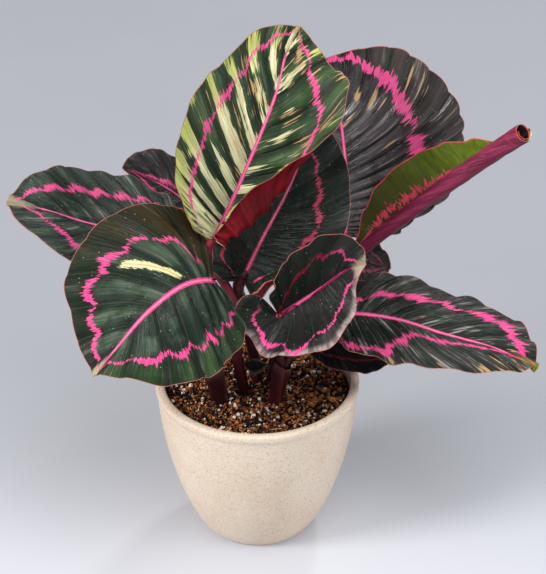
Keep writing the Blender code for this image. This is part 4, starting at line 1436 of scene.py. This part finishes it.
def potting_profile(sizes, top):
    """The potting mix's section: its top from the axis out, its side, and its bottom."""
    edge = pot_inside(sizes, top) - SOIL_GAP
    section = [(0, top)]
    section += [(r, top - SOIL_FALL * (r / edge) ** 4) for r in np.linspace(2, edge - 0.4, 46)]
    section += [(edge, top - 1.4)]
    section += [(pot_inside(sizes, z) - SOIL_GAP, z) for z in np.linspace(top - 6, sizes.floor + 4, 10)]
    bottom = sizes.floor + SOIL_GAP
    return section + [(pot_inside(sizes, sizes.floor + 4) - 4, bottom), (0, bottom)]


def scatter_tree():
    """Geometry nodes that scatter a shape over a surface, each turned, sized and roughened its own way."""
    tree = bpy.data.node_groups.get("scatter_bits")
    if tree:
        return tree
    tree = bpy.data.node_groups.new("scatter_bits", "GeometryNodeTree")
    for kind, labels in SCATTER_INPUTS.items():
        for label in labels:
            declare_input(tree, label, kind, None)
    tree.interface.new_socket("Geometry", in_out="OUTPUT", socket_type="NodeSocketGeometry")
    g = Graph(tree)
    given = g.add("NodeGroupInput")
    seed = given["Seed"]

    def chance(low, high, shift, kind="FLOAT"):
        first, result = (2, 1) if kind == "FLOAT" else (0, 0)
        inputs = {first: low, first + 1: high, "Seed": seed + shift}
        return g.add("FunctionNodeRandomValue", inputs, data_type=kind)[result]

    def change(kind, geometry, inputs=(), **settings):
        return g.add("GeometryNode" + kind, {"Geometry": geometry, **dict(inputs)}, **settings)[0]

    spots = {"Mesh": given["Geometry"], "Density": given["Density"], "Seed": seed}
    points = g.add("GeometryNodeDistributePointsOnFaces", spots, distribute_method="RANDOM")["Points"]
    rise = g.vector(0.0, 0.0, chance(0.0, given["Rise"], 3.0))
    shape = g.add("GeometryNodeObjectInfo", {"Object": given["Piece"]})["Geometry"]
    lean = g.scaled(chance((-1, -1, 0), (1, 1, 0), 5.0, "FLOAT_VECTOR"), given["Tilt"])
    turn = g.vector_math("ADD", lean, chance((0, 0, 0), (0, 0, 6.283), 6.0, "FLOAT_VECTOR"))
    luck = chance(0.0, 1.0, 7.0)
    size = given["Small"] + luck * luck * (given["Large"] - given["Small"])
    bits = {
        "Points": change("SetPosition", points, {"Offset": rise}),
        "Instance": shape,
        "Rotation": turn,
        "Scale": g.vector(size, size, size),
    }
    made = g.add("GeometryNodeInstanceOnPoints", bits)[0]
    tone = {"Name": "tone", "Value": chance(0.0, 1.0, 8.0)}
    made = change("StoreNamedAttribute", made, tone, data_type="FLOAT", domain="INSTANCE")
    made = change("RealizeInstances", made)
    place = g.add("GeometryNodeInputPosition")[0]
    bend = {"Vector": place, "Scale": 420.0, "Detail": 1.0}
    bend = g.add("ShaderNodeTexNoise", bend, noise_dimensions="3D")["Color"]
    pushed = g.scaled(g.vector_math("SUBTRACT", bend, (0.5, 0.5, 0.5)), given["Roughen"])
    made = change("SetPosition", made, {"Offset": pushed})
    made = change("SetMaterial", made, {"Material": given["Material"]})
    g.add("NodeGroupOutput", {"Geometry": made})
    return tree


def crumb_shape(name, size, subdivisions=1, squash=(1, 0.8, 0.7)):
    """A small lump of a given size (mm) along each axis."""
    form = bmesh.new()
    bmesh.ops.create_icosphere(form, subdivisions=subdivisions, radius=size * MM / 2)
    for vertex in form.verts:
        vertex.co = [a * b for a, b in zip(vertex.co, squash)]
    return mesh_of(form, name)


def fibre_shape(name, length, radius):
    """A short bent fibre (mm) with a three-sided section."""
    u = np.linspace(-0.5, 0.5, 6)
    path = np.stack([length * u, 0.22 * length * np.sin(3.6 * u), 0.07 * length * np.cos(5 * u)], -1)
    return swept_tube(name, path, radius * (1 - 1.2 * np.abs(u)), sides=3, flute=0.0)


def scatter(emitter, shape, made, values):
    """Runs the scatter nodes on an emitter object and returns the finished mesh."""
    piece = add_object("bit", shape)
    tree = scatter_tree()
    modifier = emitter.modifiers.new("scatter", "NODES")
    modifier.node_group = tree
    named = {item.name: item.identifier for item in tree.interface.items_tree if item.in_out == "INPUT"}
    for label, value in {**values, "Piece": piece, "Material": made}.items():
        modifier[named[label]] = value
    graph = bpy.context.evaluated_depsgraph_get()
    mesh = bpy.data.meshes.new_from_object(emitter.evaluated_get(graph), depsgraph=graph)
    emitter.modifiers.remove(modifier)
    bpy.data.objects.remove(piece, do_unlink=True)
    if not mesh.polygons:
        raise RuntimeError("nothing was scattered")
    return mesh


def soil_emitter(radius, height):
    """A plain disc that follows the potting mix's top, for scattering over."""
    rings, around = 22, 60
    angle = np.linspace(0, 2 * math.pi, around, endpoint=False)
    form = bmesh.new()
    grid = []
    for r in np.linspace(0, radius, rings)[1:]:
        row = []
        for a in angle:
            x, y = r * math.cos(a), r * math.sin(a)
            z = height - SOIL_FALL * (r / radius) ** 4 + soil_relief(x, y)
            row.append(form.verts.new((x * MM, y * MM, float(z) * MM)))
        grid.append(row)
    centre = form.verts.new((0, 0, float(height + soil_relief(0, 0)) * MM))
    for j in range(around):
        k = (j + 1) % around
        form.faces.new((centre, grid[0][j], grid[0][k]))
        for inner, outer in zip(grid, grid[1:]):
            form.faces.new((inner[j], outer[j], outer[k], inner[k]))
    return add_object("soil_top", mesh_of(form, "soil_top"))


def sheath_surface(knots, radii, turn, seed):
    """A stem's sheath: a rolled sheet whose edges overlap, with a slanting cut top."""
    generator = np.random.default_rng(seed)
    s, t = np.meshgrid(np.linspace(0, 1, 60), np.linspace(0, 1, 90), indexing="ij")
    top = 1 - SHEATH_CUT * (0.5 - 0.5 * np.cos(2 * math.pi * t)) + 0.02 * wavy(generator, t, 2, 6)
    place = np.clip(s * top, 0, 1)
    centre, slope = smooth_curve(knots, place)
    tangent = unit(slope)
    front = unit(np.cross(tangent, (1.0, 0.0, 0.0)))
    side = np.cross(front, tangent)
    angle = turn + SHEATH_TURNS * 2 * math.pi * t + 0.5 * s
    radius = three_point(radii, place) - 0.7 * t - 0.2 - 0.9 * ease(0.8, 1, s)
    radius = radius + 0.12 * np.sin(9 * angle) + 0.1 * wavy(generator, t + 0.2 * s, 3, 9)
    outward = front * np.cos(angle)[..., None] + side * np.sin(angle)[..., None]
    points = centre + outward * radius[..., None]
    girth = 2 * math.pi * SHEATH_TURNS * radius
    values = {"edge_distance": np.minimum(np.minimum(t, 1 - t) * girth, (1 - s) * 25)}
    return Surface(points, grid_normals(points, outward), np.zeros_like(s), np.stack([s, t], -1), values)


def stalk_path(key):
    """Points and radii (mm) of a stalk, from inside its stem or the soil to under its blade."""
    knots, foot_radius = STALKS[key]
    knots = [np.asarray(k, float) for k in knots]
    if key in STEM_OF:
        stem, _ = STEMS[STEM_OF[key]]
        axis_top, axis_low = np.asarray(stem[-1], float), np.asarray(stem[1], float)
        lead = 0.55 * knots[0] + 0.45 * np.array([axis_top[0], axis_top[1], knots[0][2]])
        knots[0] = lead
        knots.insert(0, 0.3 * (lead + [0, 0, -16]) + 0.7 * np.array([*axis_low[:2], lead[2] - 16]))
    else:
        knots[0] = knots[0] - [0, 0, 3]
    if key == "rolled":
        axis = np.asarray(ROLL_AXIS, float)
        away = unit(axis[0] - axis[1])
        ends = [axis[0] + step * away for step in (8, 0.5, -8)]
    else:
        base, tangent, normal = frame_at_base(LEAVES[key])
        lead, drop = STALK_TURNS.get(key, USUAL_TURN)
        steps = ((-lead, drop), (0.5, 2.1), (6, 1.2))
        ends = [base + along * tangent - down * normal for along, down in steps]
    u = np.linspace(0, 1, 90)
    path, _ = smooth_curve([*knots, *ends], u)
    slender = STALK_TOPS.get(key, USUAL_TOP)
    radii = slender + (foot_radius - slender) * (1 - u) ** 1.3
    turn = 0.45 * np.exp(-(((u - 0.9) / 0.05) ** 2))
    joint = 0.16 * np.exp(-(((u - 0.84) / 0.008) ** 2))
    return path, (radii + turn + joint) * (1 - 0.4 * ease(0.97, 1, u))


def add_light(name, place, size, power, colour):
    """A round soft light at a place, turned to the middle of the plant."""
    light = bpy.data.lights.new(name, "AREA")
    light.shape, light.size, light.energy, light.color = "DISK", size, power, colour
    lamp = add_object(name, light)
    lamp.location = place
    toward = mathutils.Vector(np.subtract(place, LIGHTS_AIM))
    lamp.rotation_euler = toward.to_track_quat("Z", "Y").to_euler()


# ---------------------------------------------------------------- settings


def setting(kind, name, description, default, **more):
    make = getattr(bpy.props, kind + "Property")
    return make(name=name, description=description, default=default, **more)


def millimetres(name, description, default):
    return setting("Float", name, description, default, min=0, soft_max=500)


def colour_setting(name, default):
    label = name.replace("_", " ").capitalize()
    return setting("FloatVector", label, label + " colour", default, subtype="COLOR", min=0, max=1)


CalatheaColours = type(
    "CalatheaColours",
    (bpy.types.PropertyGroup,),
    {"__annotations__": {name: colour_setting(name, colour) for name, colour in COLOURS.items()}},
)


class CalatheaPot(bpy.types.PropertyGroup):
    """Sizes of the pot, in millimetres."""

    height: millimetres("Height", "Height of the pot", 112.5)
    foot_radius: millimetres("Foot radius", "Radius of the flat foot", 36)
    body_radius: millimetres("Body radius", "Outer radius under the rim", 66.5)
    rim_radius: millimetres("Rim radius", "Outer radius of the rim", 67.5)
    rim_height: millimetres("Rim height", "Height of the rim bead", 6)
    wall: millimetres("Wall", "Thickness of the wall", 6)
    floor: millimetres("Floor", "Thickness of the floor", 8)
    flare_power: setting("Float", "Flare power", "How fast the wall flares", 1.76)
    flare_round: setting("Float", "Flare round", "How round the flare is", 0.77)
    segments: setting("Int", "Segments", "Segments round the pot", 192)


class CalatheaSoil(bpy.types.PropertyGroup):
    """How the potting mix is filled."""

    crumbs: setting("Int", "Crumbs", "Crumbs of compost on top", 4600)
    bark: setting("Int", "Bark", "Bark chips on top", 170)
    fibres: setting("Int", "Fibres", "Coir fibres on top", 380)
    perlite: setting("Int", "Perlite", "Perlite grains on top", 520)
    seed: setting("Int", "Seed", "Seed of the scatter", 11)


class CalatheaLeaves(bpy.types.PropertyGroup):
    """How thick the leaves are and how they are seeded."""

    thickness: millimetres("Thickness", "Thickness of a blade", 0.6)
    seed: setting("Int", "Seed", "Seed of the blades' waves", 40)


class CalatheaStage(bpy.types.PropertyGroup):
    """The studio: floor, lights and camera."""

    floor_radius: setting("Float", "Floor radius", "Radius of the floor", 10, unit="LENGTH")
    lens: setting("Float", "Lens", "Focal length (mm)", 107.7)
    key: setting("Float", "Key", "Key light (W)", 146.0)
    top: setting("Float", "Top", "Top light (W)", 78.0)
    front: setting("Float", "Front", "Front light (W)", 44.0)
    back: setting("Float", "Back", "Back light (W)", 22.0)
    fill: setting("Float", "Fill", "Strength of the surroundings", 0.2)


SETTINGS = {
    "calathea_colours": CalatheaColours,
    "calathea_pot": CalatheaPot,
    "calathea_soil": CalatheaSoil,
    "calathea_leaves": CalatheaLeaves,
    "calathea_stage": CalatheaStage,
}


# ---------------------------------------------------------------- steps


def turn_pot(scene):
    """Turn the speckled pot"""
    sizes = scene.calathea_pot
    mesh = turned_mesh("pot_glazed", pot_profile(sizes), sizes.segments)
    add_piece(mesh, [glaze_material()], "pot")


def fill_soil(scene):
    """Fill the pot with potting mix and scatter crumbs, fibres, bark and perlite over it"""
    sizes, soil = scene.calathea_pot, scene.calathea_soil
    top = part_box("potting_mix")[1].z / MM - SOIL_SINK
    section = potting_profile(sizes, top)
    is_top = np.array([z > top - 1.2 for _, z in section[1:-1]])[:, None]
    mesh = turned_mesh("potting_bed", section, 96, lambda x, y: soil_relief(x, y) * is_top)
    ground = crumb_material("potting_ground", "soil_dark", "soil_light", 0.95, 0.9)
    add_piece(mesh, [ground], "potting_mix")
    radius = pot_inside(sizes, top) - BITS_MARGIN
    area = math.pi * (radius * MM) ** 2
    emitter = soil_emitter(radius, top)
    shapes = {
        "crumbs": crumb_shape("crumb", 2.1),
        "bark": crumb_shape("bark", 6.0, 1, (1, 0.6, 0.32)),
        "fibres": fibre_shape("fibre", 7.0, 0.22),
        "perlite": crumb_shape("perlite", 2.2, 2, (1, 0.8, 0.65)),
    }
    for i, (key, (spread, material)) in enumerate(SOIL_BITS.items()):
        small, large, tilt, rise, roughen = spread
        values = {"Small": small, "Large": large, "Tilt": tilt, "Rise": rise * MM, "Roughen": roughen * MM}
        values |= {"Density": getattr(soil, key) / area, "Seed": soil.seed + 20 * i}
        made = crumb_material(*material)
        mesh = scatter(emitter, shapes[key], made, values)
        mesh.name = f"soil_{key}"
        mesh.materials.clear()
        mesh.shade_flat()
        add_piece(mesh, [made], None)
    bpy.data.objects.remove(emitter, do_unlink=True)


def grow_stalks(scene):
    """Grow the stalks and the sheathed stems"""
    for key in STALKS:
        mesh = swept_tube(f"petiole_{key}", *stalk_path(key))
        lit, deep = STALK_TINTS.get(key, ("stalk_red", "stalk_deep"))
        made = stalk_material(f"petiole_{key}", lit, deep, 1.0 + 0.1 * len(key), STALK_DARK_SHARE)
        piece = add_piece(mesh, [made], None)
        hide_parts(f"stalk_{key}")
    for key, (knots, radii) in STEMS.items():
        knots = [np.subtract(knots[0], (0, 0, 2)), *knots[1:]]
        turn, body = SHEATHS[key]
        surface = sheath_surface(knots, radii, turn, len(key))
        mesh = shell_mesh(f"sheath_{key}", surface, SHEATH_THICKNESS, edge_share=0.7)
        made = sheath_material(f"sheath_{key}", body)
        add_piece(mesh, [made] * 3, f"stem_{key}")


def grow_leaves(scene):
    """Grow the open leaves and the dry bract"""
    settings = scene.calathea_leaves
    for i, (key, leaf) in enumerate(LEAVES.items()):
        mesh = shell_mesh(f"blade_{key}", blade_surface(leaf, settings.seed + i), settings.thickness)
        slots = [
            upper_face_material(f"upper_{key}", leaf.look, 2.0 + i),
            under_face_material(f"under_{key}", leaf.look, 5.0 + i, UNDERSIDES.get(key, "wine")),
            edge_material(),
        ]
        add_piece(mesh, slots, f"leaf_{key}")
    mesh = shell_mesh("bract_dry", blade_surface(BRACT, settings.seed - 1), settings.thickness)
    add_piece(mesh, [bract_material()] * 3, "bract")


def roll_leaf(scene):
    """Roll the new leaf"""
    mesh = shell_mesh("rolled_leaf", roll_surface(), ROLL_THICKNESS)
    slots = [roll_inner_material(), roll_outer_material(), edge_material()]
    add_piece(mesh, slots, "leaf_rolled")


def set_stage(scene):
    """Lay the floor, light it and set the camera"""
    settings = scene.calathea_stage
    form = bmesh.new()
    bmesh.ops.create_circle(form, cap_ends=True, radius=settings.floor_radius, segments=96)
    mesh = mesh_of(form, "studio_floor")
    mesh.materials.append(floor_material())
    add_object("studio_floor", mesh)
    for key, (place, size, colour) in LIGHTS.items():
        add_light(f"{key}_light", place, size, getattr(settings, key), colour)
    scene.world = bpy.data.worlds.new("studio")
    scene.world.use_nodes = True
    background = scene.world.node_tree.nodes["Background"]
    background.inputs["Color"].default_value = SKY
    background.inputs["Strength"].default_value = settings.fill
    camera = bpy.data.cameras.new("camera")
    camera.lens, camera.sensor_width = settings.lens, 36
    camera.clip_start, camera.clip_end = 0.01, 100
    scene.camera = add_object("camera", camera)
    scene.camera.location = CAMERA_PLACE
    scene.camera.rotation_euler = (math.radians(90 - CAMERA_DIP), 0, 0)
    scene.view_settings.view_transform = "Standard"


def as_operator(name, run):
    """An operator that runs one of the steps, labelled with the step's name."""

    def execute(self, context):
        run(context.scene)
        return {"FINISHED"}

    label = name.replace("_", " ").capitalize()
    parts = {"__doc__": run.__doc__, "bl_idname": "calathea." + name, "bl_label": label, "execute": execute}
    return type("CALATHEA_OT_" + name, (bpy.types.Operator,), parts)


STEPS = [
    as_operator("add_pot", turn_pot),
    as_operator("add_soil", fill_soil),
    as_operator("add_stalks", grow_stalks),
    as_operator("add_leaves", grow_leaves),
    as_operator("add_rolled_leaf", roll_leaf),
    as_operator("set_stage", set_stage),
]


class CALATHEA_PT_panel(bpy.types.Panel):
    """The steps that build the plant, with their settings"""

    bl_idname = "CALATHEA_PT_panel"
    bl_label = "Potted Calathea"
    bl_space_type = "VIEW_3D"
    bl_region_type = "UI"
    bl_category = "Calathea"

    def draw(self, context):
        for step in STEPS:
            self.layout.operator(step.bl_idname)
        for name, group in SETTINGS.items():
            box = self.layout.box()
            box.label(text=name.replace("_", " ").capitalize())
            for key in group.__annotations__:
                box.prop(getattr(context.scene, name), key)


def register():
    for name, group in SETTINGS.items():
        bpy.utils.register_class(group)
        setattr(bpy.types.Scene, name, bpy.props.PointerProperty(type=group))
    for made in (*STEPS, CALATHEA_PT_panel):
        bpy.utils.register_class(made)


def unregister():
    for made in (CALATHEA_PT_panel, *reversed(STEPS)):
        bpy.utils.unregister_class(made)
    for name, group in reversed(SETTINGS.items()):
        delattr(bpy.types.Scene, name)
        bpy.utils.unregister_class(group)


def main():
    register()
    bpy.ops.calathea.add_pot()
    bpy.ops.calathea.add_soil()
    bpy.ops.calathea.add_stalks()
    bpy.ops.calathea.add_leaves()
    bpy.ops.calathea.add_rolled_leaf()
    bpy.ops.calathea.set_stage()


if __name__ == "__main__":
    main()
